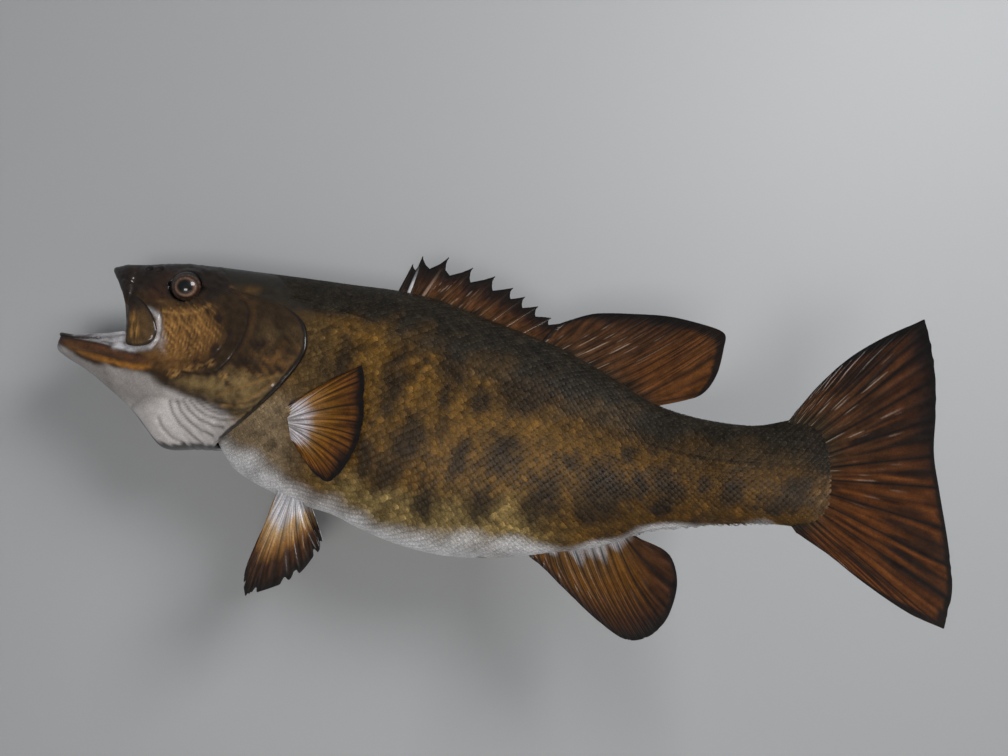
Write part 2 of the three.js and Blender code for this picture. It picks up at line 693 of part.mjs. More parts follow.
/** The steel hanger plate: a strip with a keyhole and two countersunk screws. */
function hangerPlate() {
  const { length, height, thickness, centreHeight, bore, slot, slotRise } = HANGER;
  const plate = boxSolid(
    [-length / 2, -thickness, centreHeight - height / 2],
    [length / 2, 0, centreHeight + height / 2],
  );
  const entry = barSolid(0, centreHeight - slotRise / 2, bore, -thickness - 1, 1, 20);
  const low = [-slot, -thickness - 1, centreHeight - slotRise / 2];
  const neck = boxSolid(low, [slot, 1, centreHeight + slotRise / 2 + slot]);
  const seats = [-1, 1].map((side) => barSolid(
    side * SCREW.spacing, centreHeight, SCREW.headRadius + JOINT_GAP, -thickness - 1, 1, 12,
  ));
  return seats.reduce((solid, seat) => solid.subtract(seat), plate.subtract(entry).subtract(neck));
}

/** A screw: its head lies in the hanger and its shank in the block. */
function hangerScrew() {
  const { headRadius, headDepth, shankRadius, shankLength, point, flat } = SCREW;
  const tip = -HANGER.thickness - shankLength;
  const profile = [
    [0, tip], [shankRadius, tip + point], [shankRadius, -HANGER.thickness - JOINT_GAP / 2],
    [headRadius, flat - headDepth], [headRadius, -flat], [0, -flat],
  ];
  const lathe = new THREE.LatheGeometry(profile.map(([x, y]) => new THREE.Vector2(x, y)), 8);
  return geometryOf(solidOfGeometry(lathe));
}

// ---- Assembly -------------------------------------------------------------------------------

const FINISHES = {
  darkHead: { color: 0x2c2013, roughness: 0.3, metalness: 0 },
  jaw: { color: 0x6e3c18, roughness: 0.3, metalness: 0 },
  throat: { color: 0xb4aca4, roughness: 0.35, metalness: 0 },
  cover: { color: 0x5c421e, roughness: 0.3, metalness: 0 },
  maxilla: { color: 0x71501d, roughness: 0.28, metalness: 0 },
  flank: { color: 0x58482a, roughness: 0.33, metalness: 0 },
  fin: { color: 0x6b3c15, roughness: 0.28, metalness: 0 },
  mouth: { color: 0xb9a097, roughness: 0.35, metalness: 0 },
  glass: { color: 0x1a130d, roughness: 0.05, metalness: 0 },
  wood: { color: 0xb98c58, roughness: 0.75, metalness: 0 },
  steel: { color: 0xa9a9a6, roughness: 0.4, metalness: 1 },
};

function part(name, finish, geometry) {
  const mesh = new THREE.Mesh(geometry, new THREE.MeshStandardMaterial(FINISHES[finish]));
  mesh.name = name;
  return mesh;
}

const fish = new THREE.Group();
fish.name = 'mounted_bass';

// The trunk and the tail's root are lengths of one body, parted by a thin cut.
const trunkWhole = bodyLength(TRUNK.start, TRUNK.end - JOINT_GAP, TRUNK.lengths);
const trunkGrown = bodyLength(TRUNK.start - JOINT_GAP, TRUNK.end, TRUNK.lengths, JOINT_GAP);
const blockSpace = boxSolid(
  blockLow.map((value) => value - JOINT_GAP),
  [blockHigh[0] + JOINT_GAP, 1, blockHigh[2] + JOINT_GAP],
);
const { lengths: rootLengths, bulge: rootBulge } = TAIL_ROOT;
const tailRoot = bodyLength(TRUNK.end, TAIL_ROOT.end, rootLengths, 0, rootBulge);
const tailGrown = bodyLength(TRUNK.end, TAIL_ROOT.end + JOINT_GAP, rootLengths, JOINT_GAP, rootBulge);

// The head is cut clear of the trunk, and then parted along its bones.
const FULL_WIDTH = 60;
const headClear = wholeHead().subtract(trunkGrown);
const core = wholeHead(-COVER_THICKNESS, false);
const coreGrown = wholeHead(-COVER_THICKNESS + JOINT_GAP, false);

/** What lies over an outline on one side of the fish, from near its middle plane outwards. */
const sideSpace = (outline, side, from) => (
  side > 0 ? through(outline, from, FULL_WIDTH) : through(outline, -FULL_WIDTH, -from)
);
const coverSpace = (side, gap) => sideSpace(offsetOutline(COVER_OUTLINE, gap), side, COVER_THICKNESS);
const jawSpace = (gap) => through(offsetOutline(JAW_OUTLINE, gap), -FULL_WIDTH, FULL_WIDTH);
const throatSpace = (gap) => through(offsetOutline(THROAT_OUTLINE, gap), -FULL_WIDTH, FULL_WIDTH);

const eyeAt = (side) => {
  const surface = headSection(EYE.station, true).halfWidth;
  return place(EYE.station, side * (surface - EYE.sunk), EYE.height);
};
const eyeGeometry = (radius) => new THREE.SphereGeometry(radius, EYE.columns, EYE.rows);
const eyeSpace = (side) => {
  const ball = eyeGeometry(EYE.radius + JOINT_GAP);
  ball.translate(...eyeAt(side));
  return solidOfGeometry(ball);
};

const tongueGeometry = (grow) => {
  const ball = new THREE.SphereGeometry(1, TONGUE.columns, TONGUE.rows);
  ball.scale(TONGUE.length / 2 + grow, TONGUE.halfWidth + grow, TONGUE.halfHeight + grow);
  ball.rotateY(THREE.MathUtils.degToRad(TONGUE.pitch));
  ball.translate(...place(TONGUE.station, 0, TONGUE.height));
  return ball;
};
const tongueSpace = solidOfGeometry(tongueGeometry(JOINT_GAP));

const covers = [1, -1].map((side) => (
  mainPiece(headClear.intersect(coverSpace(side, 0)).subtract(coreGrown))
));
const withoutCovers = [1, -1].reduce(
  (solid, side) => solid.subtract(coverSpace(side, JOINT_GAP).subtract(core)),
  headClear,
).subtract(tongueSpace);
const jaw = mainPiece(withoutCovers.intersect(jawSpace(0)));
const aboveJaw = withoutCovers.subtract(jawSpace(JOINT_GAP));
const throat = mainPiece(aboveJaw.intersect(throatSpace(0)));
const skull = mainPiece(
  aboveJaw.subtract(throatSpace(JOINT_GAP)).subtract(eyeSpace(1)).subtract(eyeSpace(-1)),
);

const overLips = wholeHead(JOINT_GAP + MAXILLA.thickness, false).subtract(wholeHead(JOINT_GAP, false));
const maxilla = (side) => mainPiece(overLips.intersect(sideSpace(MAXILLA_OUTLINE, side, MAXILLA.from)));

fish.add(part('head', 'darkHead', geometryOf(skull)));
fish.add(part('lower_jaw', 'jaw', geometryOf(jaw)));
fish.add(part('throat', 'throat', geometryOf(throat)));
fish.add(part('gill_cover_left', 'cover', geometryOf(covers[0])));
fish.add(part('gill_cover_right', 'cover', geometryOf(covers[1])));
fish.add(part('maxilla_left', 'maxilla', geometryOf(maxilla(1))));
fish.add(part('maxilla_right', 'maxilla', geometryOf(maxilla(-1))));

for (const [name, side] of [['eye_left', 1], ['eye_right', -1]]) {
  const eye = part(name, 'glass', eyeGeometry(EYE.radius));
  eye.position.set(...eyeAt(side));
  fish.add(eye);
}
fish.add(part('tongue', 'mouth', tongueGeometry(0)));

fish.add(part('trunk', 'flank', geometryOf(mainPiece(trunkWhole.subtract(blockSpace)))));
fish.add(part('tail_root', 'flank', geometryOf(tailRoot)));

const flesh = trunkGrown.add(tailGrown);
const clearOfFlesh = (solid) => geometryOf(mainPiece(solid.subtract(flesh)));
fish.add(part('dorsal_fin_spiny', 'fin', clearOfFlesh(spinyDorsal())));
fish.add(part('dorsal_fin_soft', 'fin', clearOfFlesh(softDorsal())));
fish.add(part('anal_fin', 'fin', clearOfFlesh(analFin())));
fish.add(part('caudal_fin', 'fin', clearOfFlesh(caudalFin())));
fish.add(part('pectoral_fin_left', 'fin', clearOfFlesh(pectoralFin(1))));
fish.add(part('pectoral_fin_right', 'fin', clearOfFlesh(pectoralFin(-1))));
fish.add(part('pelvic_fin_left', 'fin', clearOfFlesh(pelvicFin(1))));
fish.add(part('pelvic_fin_right', 'fin', clearOfFlesh(pelvicFin(-1))));

fish.add(part('hanging_block', 'wood', geometryOf(hangingBlock())));
fish.add(part('hanger_plate', 'steel', geometryOf(hangerPlate())));
for (const [name, side] of [['hanger_screw_left', -1], ['hanger_screw_right', 1]]) {
  const screw = part(name, 'steel', hangerScrew());
  screw.position.set(side * SCREW.spacing, 0, HANGER.centreHeight);
  fish.add(screw);
}

export default fish;
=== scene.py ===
"""Museum model of a mounted smallmouth bass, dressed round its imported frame.

Lengths in the classes below are millimetres unless a name says metres. A point of the fish is given
by its station along the midline from the snout, its offset to the fish's left and its height; the
Midline class turns that into the frame's own metres.
"""

import json
import logging
import math
from dataclasses import dataclass
from enum import Enum
from typing import Callable, Optional, Sequence

import bpy
import numpy as np
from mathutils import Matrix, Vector

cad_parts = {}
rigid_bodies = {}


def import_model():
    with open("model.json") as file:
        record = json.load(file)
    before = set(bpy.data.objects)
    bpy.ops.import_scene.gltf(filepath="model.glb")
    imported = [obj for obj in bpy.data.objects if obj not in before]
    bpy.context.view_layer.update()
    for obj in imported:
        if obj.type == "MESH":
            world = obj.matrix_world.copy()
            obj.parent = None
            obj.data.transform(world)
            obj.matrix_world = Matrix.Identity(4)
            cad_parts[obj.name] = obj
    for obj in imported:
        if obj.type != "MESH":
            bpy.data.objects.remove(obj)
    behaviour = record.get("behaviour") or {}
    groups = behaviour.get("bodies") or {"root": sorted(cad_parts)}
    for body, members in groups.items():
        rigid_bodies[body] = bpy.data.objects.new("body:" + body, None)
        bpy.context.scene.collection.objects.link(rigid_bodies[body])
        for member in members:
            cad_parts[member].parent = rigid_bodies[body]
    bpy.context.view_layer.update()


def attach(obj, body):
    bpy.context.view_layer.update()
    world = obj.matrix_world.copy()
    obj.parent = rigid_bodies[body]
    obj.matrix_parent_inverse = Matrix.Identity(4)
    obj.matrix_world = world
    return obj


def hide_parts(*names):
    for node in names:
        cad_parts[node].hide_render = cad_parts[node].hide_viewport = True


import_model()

LOG = logging.getLogger("mounted_bass")
BODY = "root"
METRE = 1000.0

Array = np.ndarray
Piece = bpy.types.Object
Socket = bpy.types.NodeSocket
Colour = tuple[float, float, float]
Spots = tuple[tuple[float, ...], ...]


class Side(Enum):
    """The two sides of the fish; the value is the sign of an offset to that side."""

    LEFT = 1
    RIGHT = -1


# ---- Numbers -------------------------------------------------------------------------------


def mix(a: Array | float, b: Array | float, t: Array | float) -> Array | float:
    """Value between a and b at the share t."""
    return a + (b - a) * t


def smooth(t: Array | float) -> Array:
    """Soft step from 0 to 1 as t passes from 0 to 1."""
    t = np.clip(t, 0.0, 1.0)
    return t * t * (3 - 2 * t)


def bump(value: Array, middle: float, width: Array | float) -> Array:
    """Bell curve of height 1 round the middle value."""
    return np.exp(-(((value - middle) / width) ** 2))


def ripple(x: Array, y: Array, z: Array, length: float, seed: int) -> Array:
    """Cheap smooth noise from crossed waves.

    Args:
        x: First coordinate of each point.
        y: Second coordinate of each point.
        z: Third coordinate of each point.
        length: Size of its features, in the units of the coordinates.
        seed: Number that picks one pattern.

    Returns:
        Values of about -1 to 1.
    """
    random = np.random.default_rng(seed)
    total = np.zeros(np.broadcast(x, y, z).shape)
    waves = 9
    for _ in range(waves):
        way = random.normal(size=3)
        way *= random.uniform(0.6, 1.5) * 2 * math.pi / (length * np.linalg.norm(way))
        total += np.sin(x * way[0] + y * way[1] + z * way[2] + random.uniform(0, 6.28))
    return total / math.sqrt(waves)


class Track:
    """Smooth curve through (station, value) knots, flat past both ends."""

    def __init__(self, *knots: tuple[float, float]) -> None:
        """Stores the knots and their slopes.

        Args:
            *knots: The (station, value) pairs, by rising station.
        """
        self.at, self.value = np.array(knots, float).T
        last = len(knots) - 1
        before = np.maximum(np.arange(last + 1) - 1, 0)
        after = np.minimum(np.arange(last + 1) + 1, last)
        rise = self.value[after] - self.value[before]
        self.slope = rise / (self.at[after] - self.at[before])

    def __call__(self, station: Array | float) -> Array:
        """Reads the curve.

        Args:
            station: Where to read it.

        Returns:
            The value of the curve at each station.
        """
        s = np.clip(np.asarray(station, float), self.at[0], self.at[-1])
        i = np.clip(np.searchsorted(self.at, s, side="right") - 1, 0, len(self.at) - 2)
        span = self.at[i + 1] - self.at[i]
        t = (s - self.at[i]) / span
        leave = t * (1 - t) ** 2 * span * self.slope[i]
        arrive = t * t * (1 - t) * span * self.slope[i + 1]
        return mix(self.value[i], self.value[i + 1], smooth(t)) + leave - arrive


class Line:
    """A line of (station, height) corners drawn on the fish's side."""

    def __init__(self, *corners: tuple[float, float], closed: bool = False) -> None:
        """Stores the corners, and the first again at the end if the line is closed."""
        points = list(corners) + ([corners[0]] if closed else [])
        self.points = np.array(points, float)

    def distance(self, station: Array, height: Array) -> Array:
        """Measures how far points lie from the line.

        Args:
            station: Station of each point.
            height: Height of each point.

        Returns:
            The distances, in millimetres.
        """
        best = np.full(np.shape(station), np.inf)
        for (s0, h0), (s1, h1) in zip(self.points[:-1], self.points[1:]):
            length = (s1 - s0) ** 2 + (h1 - h0) ** 2
            t = np.clip(((station - s0) * (s1 - s0) + (height - h0) * (h1 - h0)) / length, 0, 1)
            gap = np.hypot(station - mix(s0, s1, t), height - mix(h0, h1, t))
            best = np.minimum(best, gap)
        return best

    def inside(self, station: Array, height: Array) -> Array:
        """Tells which points lie inside the closed line.

        Args:
            station: Station of each point.
            height: Height of each point.

        Returns:
            True for each point inside.
        """
        found = np.zeros(np.shape(station), bool)
        for (s0, h0), (s1, h1) in zip(self.points[:-1], self.points[1:]):
            if h0 == h1:
                continue
            crosses = (h0 > height) != (h1 > height)
            found ^= crosses & (station < (s1 - s0) * (height - h0) / (h1 - h0) + s0)
        return found

    def depth(self, station: Array, height: Array) -> Array:
        """Distance to the closed line, positive inside and negative outside."""
        return np.where(self.inside(station, height), 1, -1) * self.distance(station, height)


# ---- The fish's shape ----------------------------------------------------------------------


@dataclass
class Midline:
    """The fish's middle line seen from above, with the tail kicked out into the room.

    Args:
        snout_x: Place of the snout along the wall.
        snout_y: Place of the snout out from the wall.
        datum_level: Level of the fish's own datum above the frame's origin.
        head_turn: Angle in degrees at which the head leaves the wall's direction.
        tail_turn: The same at the tail.
        bend_start: Station where the bend starts.
        bend_end: Station where the bend ends.
        first: First station that the line reaches.
        last: Last station that the line reaches.
    """

    snout_x: float = -154.8
    snout_y: float = -40.1
    datum_level: float = -30.0
    head_turn: float = 3.0
    tail_turn: float = 39.0
    bend_start: float = 110.0
    bend_end: float = 380.0
    first: int = -60
    last: int = 460

    def __post_init__(self) -> None:
        """Walks the line in steps of a millimetre."""
        self.stations = np.arange(self.first, self.last + 1.0)
        turn = self.heading(self.stations[:-1] + 0.5)
        x = np.concatenate([[0], np.cumsum(np.cos(turn))])
        y = np.concatenate([[0], np.cumsum(-np.sin(turn))])
        self.x = x + self.snout_x - x[-self.first]
        self.y = y + self.snout_y - y[-self.first]

    def heading(self, station: Array) -> Array:
        """Angle of the line at each station, in radians."""
        bend = smooth((np.asarray(station) - self.bend_start) / (self.bend_end - self.bend_start))
        return np.radians(mix(self.head_turn, self.tail_turn, bend))

    def place(self, station: Array, left: Array, height: Array) -> Array:
        """Puts points of the fish into the frame.

        Args:
            station: Station of each point.
            left: Offset of each point to the fish's left.
            height: Height of each point.

        Returns:
            The points in metres, with their three coordinates last.
        """
        turn = self.heading(station)
        x = np.interp(station, self.stations, self.x) - np.sin(turn) * left
        y = np.interp(station, self.stations, self.y) - np.cos(turn) * left
        points = np.broadcast_arrays(x, y, np.asarray(height) + self.datum_level)
        return np.stack(points, -1) / METRE


@dataclass
class Anatomy:
    """Sections of the body, head and mouth, as the frame's solids have them.

    Args:
        midline: The middle line that all sections stand on.
        back, belly, chin, waist: Heights of the outline and of the widest level, along the fish.
        head_width, body_width: Half-widths along the fish.
        back_sharpness, belly_sharpness, chin_sharpness: How pointed the sections are; 1 is round.
        lateral_line: Height of the lateral line.
        corner_station, corner_height, corner_width: The mouth's corner.
        upper_lip_rise: Height of the upper lip over the corner.
        lower_lip_reach: Distance of the lower lip's tip ahead of the corner.
        lip_thickness: Thickness of the lips.
        gullet_station, gullet_height: Middle of the gullet's end.
        gullet_half_width, gullet_half_height: Its half sizes.
        floor_dip: Depth of the mouth's floor under a straight line to the gullet.
        tail_taper, taper_start, taper_end: Share and stations of the narrowing at the tail's root.
        flap_rear, flap_top, flap_bottom, nape: Corners of the gill flap's edge.
        tail_end, end_bulge: Station of the trunk's last section, and the length of the bulge past it.
        inset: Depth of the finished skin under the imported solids.
    """

    midline: Midline
    back: Track = Track(
        (0, 74.8), (4, 75.9), (14, 76.5), (40, 77.7), (58, 76.2), (74, 74.4), (104, 70.9),
        (130, 67.5), (157, 64), (180, 58.4), (203, 49), (225, 40), (247, 30.4), (264, 20.5),
        (280, 10.3), (298, -1.4), (320, -9.2), (346, -13.5), (362, -11.5), (382, -8),
    )
    belly: Track = Track(
        (58, -15), (64, -26), (71, -36.5), (89, -47.5), (108, -55.5), (124, -60.5), (141, -69),
        (160, -76.3), (181, -81.3), (200, -82.8), (222, -82), (241, -79.4), (268, -75.4),
        (290, -67.5), (304, -64.8), (329, -62), (352, -61), (366, -62), (382, -64),
    )
    chin: Track = Track(
        (-28.9, 34.5), (-27, 29), (-21, 24), (-10, 17.2), (1.5, 7.8), (14, -3.6), (24, -16),
        (30, -23.4), (36, -25.8), (50, -25.6), (62, -26.2), (90, -27), (115, -27),
    )
    waist: Track = Track(
        (18, 36), (32, 31), (50, 27), (80, 20), (113, 12), (150, 0), (180, -9), (210, -16),
        (240, -21), (270, -27.5), (300, -33), (330, -36), (382, -36),
    )
    head_width: Track = Track(
        (18, 21), (30, 22.4), (47, 24.6), (62, 27.6), (82, 31.6), (102, 34.6), (116, 35.4)
    )
    body_width: Track = Track(
        (58, 24.2), (80, 28.2), (100, 31.4), (122, 34.4), (150, 37), (180, 38), (210, 36.4),
        (240, 31.6), (270, 24.6), (300, 17.4), (330, 12.2), (352, 9.4), (370, 6.4), (382, 4),
    )
    back_sharpness: Track = Track(
        (0, 0.78), (40, 0.78), (70, 0.9), (110, 1.08), (200, 1.14), (300, 1.1), (382, 1)
    )
    belly_sharpness: Track = Track((58, 1), (110, 0.84), (200, 0.76), (300, 0.9), (382, 1))
    chin_sharpness: Track = Track((-28.9, 0.8), (18, 1), (40, 0.85), (60, 0.6), (76, 0.5), (116, 0.5))
    lateral_line: Track = Track(
        (100, 54), (115, 50), (140, 42), (163, 33), (175, 26), (200, 17), (217, 10), (237, 2),
        (270, -13), (300, -24), (329, -31), (382, -36),
    )

    corner_station: float = 18.0
    corner_height: float = 36.0
    corner_width: float = 21.0
    upper_lip_rise: float = 39.0
    lower_lip_reach: float = 46.9
    lip_thickness: float = 3.0
    gullet_station: float = 78.0
    gullet_height: float = 27.0
    gullet_half_width: float = 11.0
    gullet_half_height: float = 13.0
    floor_dip: float = 11.0
    tail_taper: float = 0.9
    taper_start: float = 334.0
    taper_end: float = 376.0
    flap_rear: tuple[float, float] = (112.8, 27)
    flap_top: tuple[float, float] = (75.5, 58.5)
    flap_bottom: tuple[float, float] = (62, -24.5)
    nape: tuple[float, float] = (61.6, 75)
    tail_end: float = 372.0
    end_bulge: float = 7.0
    inset: float = 0.55

    def body(self, station: Array, turn: Array, side: Array, grow: float = 0) -> tuple[Array, Array]:
        """Offset to the left and height of the trunk's surface.

        Args:
            station: Station of each point.
            turn: 0 at the back and 1 at the belly.
            side: 1 for the left and -1 for the right.
            grow: Distance by which the surface is swelled.

        Returns:
            The offsets to the left, and the heights.
        """
        angle = np.pi * turn
        upper = turn < 0.5
        waist = self.waist(station)
        sharpness = np.where(upper, self.back_sharpness(station), self.belly_sharpness(station))
        reach = np.where(upper, self.back(station) - waist, waist - self.belly(station))
        ahead = (station - self.taper_start) / (self.taper_end - self.taper_start)
        taper = 1 - self.tail_taper * np.clip(ahead, 0, 1) ** 1.3
        width = (self.body_width(station) + grow) * taper
        width = width * np.clip(np.sin(angle), 0, 1) ** sharpness
        return side * width, waist + (reach + grow) * np.cos(angle)

    def end_push(self, station: Array, turn: Array) -> Array:
        """Distance by which the trunk's end bulges back round its middle."""
        return self.end_bulge * np.sin(np.pi * turn) * smooth((station - self.tail_end) / 40 + 1)

    def lip_station(self, turn: Array) -> Array:
        """Finds the lip.

        Args:
            turn: 0 at the back and 1 at the chin.

        Returns:
            The station at which the lip lies.
        """
        upper = self.corner_station * np.sin(np.pi * turn)
        lower = self.corner_station - self.lower_lip_reach * np.sin(np.pi * (turn - 0.5))
        return np.where(turn < 0.5, upper, lower)

    def head_section(self, station: Array, upper: Array) -> tuple[Array, Array, Array]:
        """Sizes of the head's section above or below its waist.

        Args:
            station: Station of each point.
            upper: True for points above the waist.

        Returns:
            Half-widths, heights of the waist and heights of the outline.
        """
        behind = station >= self.corner_station
        ahead = np.clip(station / self.corner_station, 0, 1)
        reach = np.clip((self.corner_station - station) / self.lower_lip_reach, 0, 1)
        lift = 2.6 * smooth((reach - 0.6) / 0.35) - 1.2 * smooth(reach / 0.3)
        width = self.corner_width * np.where(upper, np.sqrt(ahead), np.sqrt(1 - reach**2))
        rise = self.upper_lip_rise * np.sqrt(1 - ahead**2)
        middle = self.corner_height + np.where(upper, rise, lift)
        far = np.where(upper, self.back(station), self.chin(station))
        width = np.where(behind, self.head_width(station), width)
        return width, np.where(behind, self.waist(station), middle), far

    def head(self, station: Array, turn: Array, side: Array, grow: float = 0) -> tuple[Array, Array]:
        """Offset to the left and height of the head's surface; each jaw closes on its own lip.

        Args:
            station: Station of each point.
            turn: 0 at the back and 1 at the chin.
            side: 1 for the left and -1 for the right.
            grow: Distance by which the surface is swelled.

        Returns:
            The offsets to the left, and the heights.
        """
        upper = turn < 0.5
        from_far = np.where(upper, turn, 1 - turn)
        up_turn = np.arcsin(np.clip(station / self.corner_station, 0, 1)) / np.pi
        reach = np.clip((self.corner_station - station) / self.lower_lip_reach, 0, 1)
        lip_turn = np.where(upper, up_turn, np.arccos(reach) / np.pi)
        lip_turn = np.where(station < self.corner_station, lip_turn, 0.5)
        share = np.where(lip_turn > 1e-9, from_far / np.maximum(lip_turn, 1e-9), 1.0)
        angle = np.pi / 2 * np.clip(share, 0, 1)
        width, middle, far = self.head_section(station, upper)
        sharpness = np.where(upper, self.back_sharpness(station), self.chin_sharpness(station))
        swell = np.where(upper, grow, -grow)
        left = side * (width + grow) * np.sin(angle) ** sharpness
        return left, middle + (far - middle + swell) * np.cos(angle)

    @staticmethod
    def settle(s: Array, h: Array) -> tuple[Array, Array]:
        """Draws both jaws' tips back to a round end.

        Args:
            s: Station of each point.
            h: Height of each point.

        Returns:
            The new stations and heights.
        """
        back = 5.0 * smooth((-19.5 - s) / 9) * smooth((h - 28) / 8)
        back = back + 1.6 * smooth((h - 50) / 10) * smooth((20 - s) / 14)
        drop = 2.3 * smooth((-19 - s) / 9) * smooth((h - 30) / 6)
        return s + back, h - drop - 1.0 * smooth((-23.5 - s) / 4.5) * smooth((h - 29) / 8)

    @staticmethod
    def lip_drop(turn: Array) -> Array:
        """Depth by which the upper jaw's bone hangs below the smooth line of the lip."""
        return np.interp(turn, (0, 0.09, 0.187, 0.284, 0.36), (0.3, 2.6, 3.8, 2.2, 0))

    def mouth(self, turn: Array, side: Array, inward: Array) -> tuple[Array, Array, Array]:
        """Surface of the mouth's lining.

        Args:
            turn: 0 at the palate's middle and 1 at the floor's middle.
            side: 1 for the left and -1 for the right.
            inward: 0 at the lip and 1 at the gullet.

        Returns:
            Stations, offsets to the left and heights.
        """
        station = self.lip_station(turn)
        width, middle, _ = self.head_section(station, turn < 0.5)
        lip = middle - np.where(turn < 0.5, self.lip_thickness, self.lip_thickness / 3)
        lip_left = np.maximum(0, width - self.lip_thickness * np.minimum(1, inward * 6))
        dip = self.floor_dip * np.sin(np.pi * inward**0.7) * smooth((turn - 0.5) * 2)
        left = mix(lip_left, self.gullet_half_width * np.sin(np.pi * turn), inward)
        gullet = self.gullet_height + self.gullet_half_height * np.cos(np.pi * turn)
        height = mix(lip, gullet, inward) - dip - self.lip_drop(turn) * smooth(1 - inward * 4)
        return mix(station + 1.5, self.gullet_station, inward), side * left, height

    def flap_station(self, height: Array) -> Array:
        """Finds the gill flap's rear edge.

        Args:
            height: Where to look for it.

        Returns:
            Its station at each height.
        """
        rear, crown = self.flap_rear[1], self.flap_top[1]
        top = np.clip((height - rear) / (crown - rear), 0, 1)
        low = np.clip((height - rear) / (self.flap_bottom[1] - rear), 0, 1)
        over = np.clip((height - crown) / (self.nape[1] - crown), 0, 1)
        upper = mix(self.flap_rear[0], self.flap_top[0], top**3)
        lower = mix(self.flap_rear[0], self.flap_bottom[0], low**1.5)
        return mix(np.where(height > self.flap_rear[1], upper, lower), self.nape[0], over)

    def head_end(self, turn: Array) -> Array:
        """Finds where the head's surface meets the flap's rear edge.

        Args:
            turn: 0 at the back and 1 at the chin.

        Returns:
            The station of the edge at each turn.
        """
        station = np.full(np.shape(turn), float(self.flap_rear[0]))
        for _ in range(14):
            _, height = self.head(station, turn, 1)
            station = mix(station, self.flap_station(height), 0.6)
        return station


# ---- Paint ---------------------------------------------------------------------------------

BACK_DARK: Colour = (0.016, 0.013, 0.009)
BACK_BROWN: Colour = (0.036, 0.023, 0.011)
FLANK_GOLD: Colour = (0.126, 0.063, 0.012)
TAIL_GOLD: Colour = (0.088, 0.041, 0.006)
LOW_OLIVE: Colour = (0.310, 0.220, 0.080)
BREAST_GOLD: Colour = (0.220, 0.162, 0.098)
BELLY_WHITE: Colour = (0.820, 0.800, 0.800)
BLOTCH_BROWN: Colour = (0.018, 0.012, 0.007)
HEAD_DARK: Colour = (0.016, 0.010, 0.007)
CHEEK_GOLD: Colour = (0.175, 0.080, 0.020)
CHEEK_STREAK: Colour = (0.400, 0.210, 0.060)
COVER_BROWN: Colour = (0.031, 0.017, 0.0065)
PALE_OLIVE: Colour = (0.290, 0.190, 0.074)
GLOSS_BROWN: Colour = (0.016, 0.008, 0.005)
JAW_BROWN: Colour = (0.080, 0.033, 0.013)
JAW_GOLD: Colour = (0.300, 0.125, 0.018)
JAW_TIP: Colour = (0.018, 0.008, 0.005)
THROAT_WHITE: Colour = (0.580, 0.535, 0.515)
CHIN_GREY: Colour = (0.325, 0.293, 0.275)
MOUTH_WHITE: Colour = (0.310, 0.300, 0.310)
MOUTH_DARK: Colour = (0.030, 0.017, 0.011)
EDGE_BLACK: Colour = (0.008, 0.006, 0.005)
BARE_WHITE: Colour = (0.520, 0.510, 0.530)


class Coat:
    """Layers of colour laid one over another on a set of points."""

    def __init__(self, count: int, colour: Colour | Array) -> None:
        """Starts with one colour all over, or with one for each point."""
        self.colour = np.broadcast_to(np.asarray(colour, float), (count, 3)).copy()

    def lay(self, colour: Colour | Array, cover: Array | float) -> None:
        """Lays a colour over the points, each covered by its own share."""
        share = np.clip(np.broadcast_to(cover, len(self.colour)), 0, 1)[:, None]
        self.colour = mix(self.colour, np.asarray(colour, float), share)

    def shade(self, factor: Array) -> None:
        """Makes the points darker or lighter."""
        self.colour = np.clip(self.colour * factor[:, None], 0.002, 0.95)


def dab(s: Array, h: Array, at: Sequence[float], edge: float = 0.35) -> Array:
    """Soft oval patch.

    Args:
        s: Station of each point.
        h: Height of each point.
        at: Station, height, half length and half height of the patch, and its lean in degrees.
        edge: Width of its soft edge, as a share of its half size.

    Returns:
        1 inside the patch and 0 well outside it.
    """
    lean = math.radians(at[4]) if len(at) > 4 else 0.0
    along = (s - at[0]) * math.cos(lean) + (h - at[1]) * math.sin(lean)
    across = (h - at[1]) * math.cos(lean) - (s - at[0]) * math.sin(lean)
    reach = np.sqrt((along / at[2]) ** 2 + (across / at[3]) ** 2)
    return smooth((1 + edge - reach) / (2 * edge))


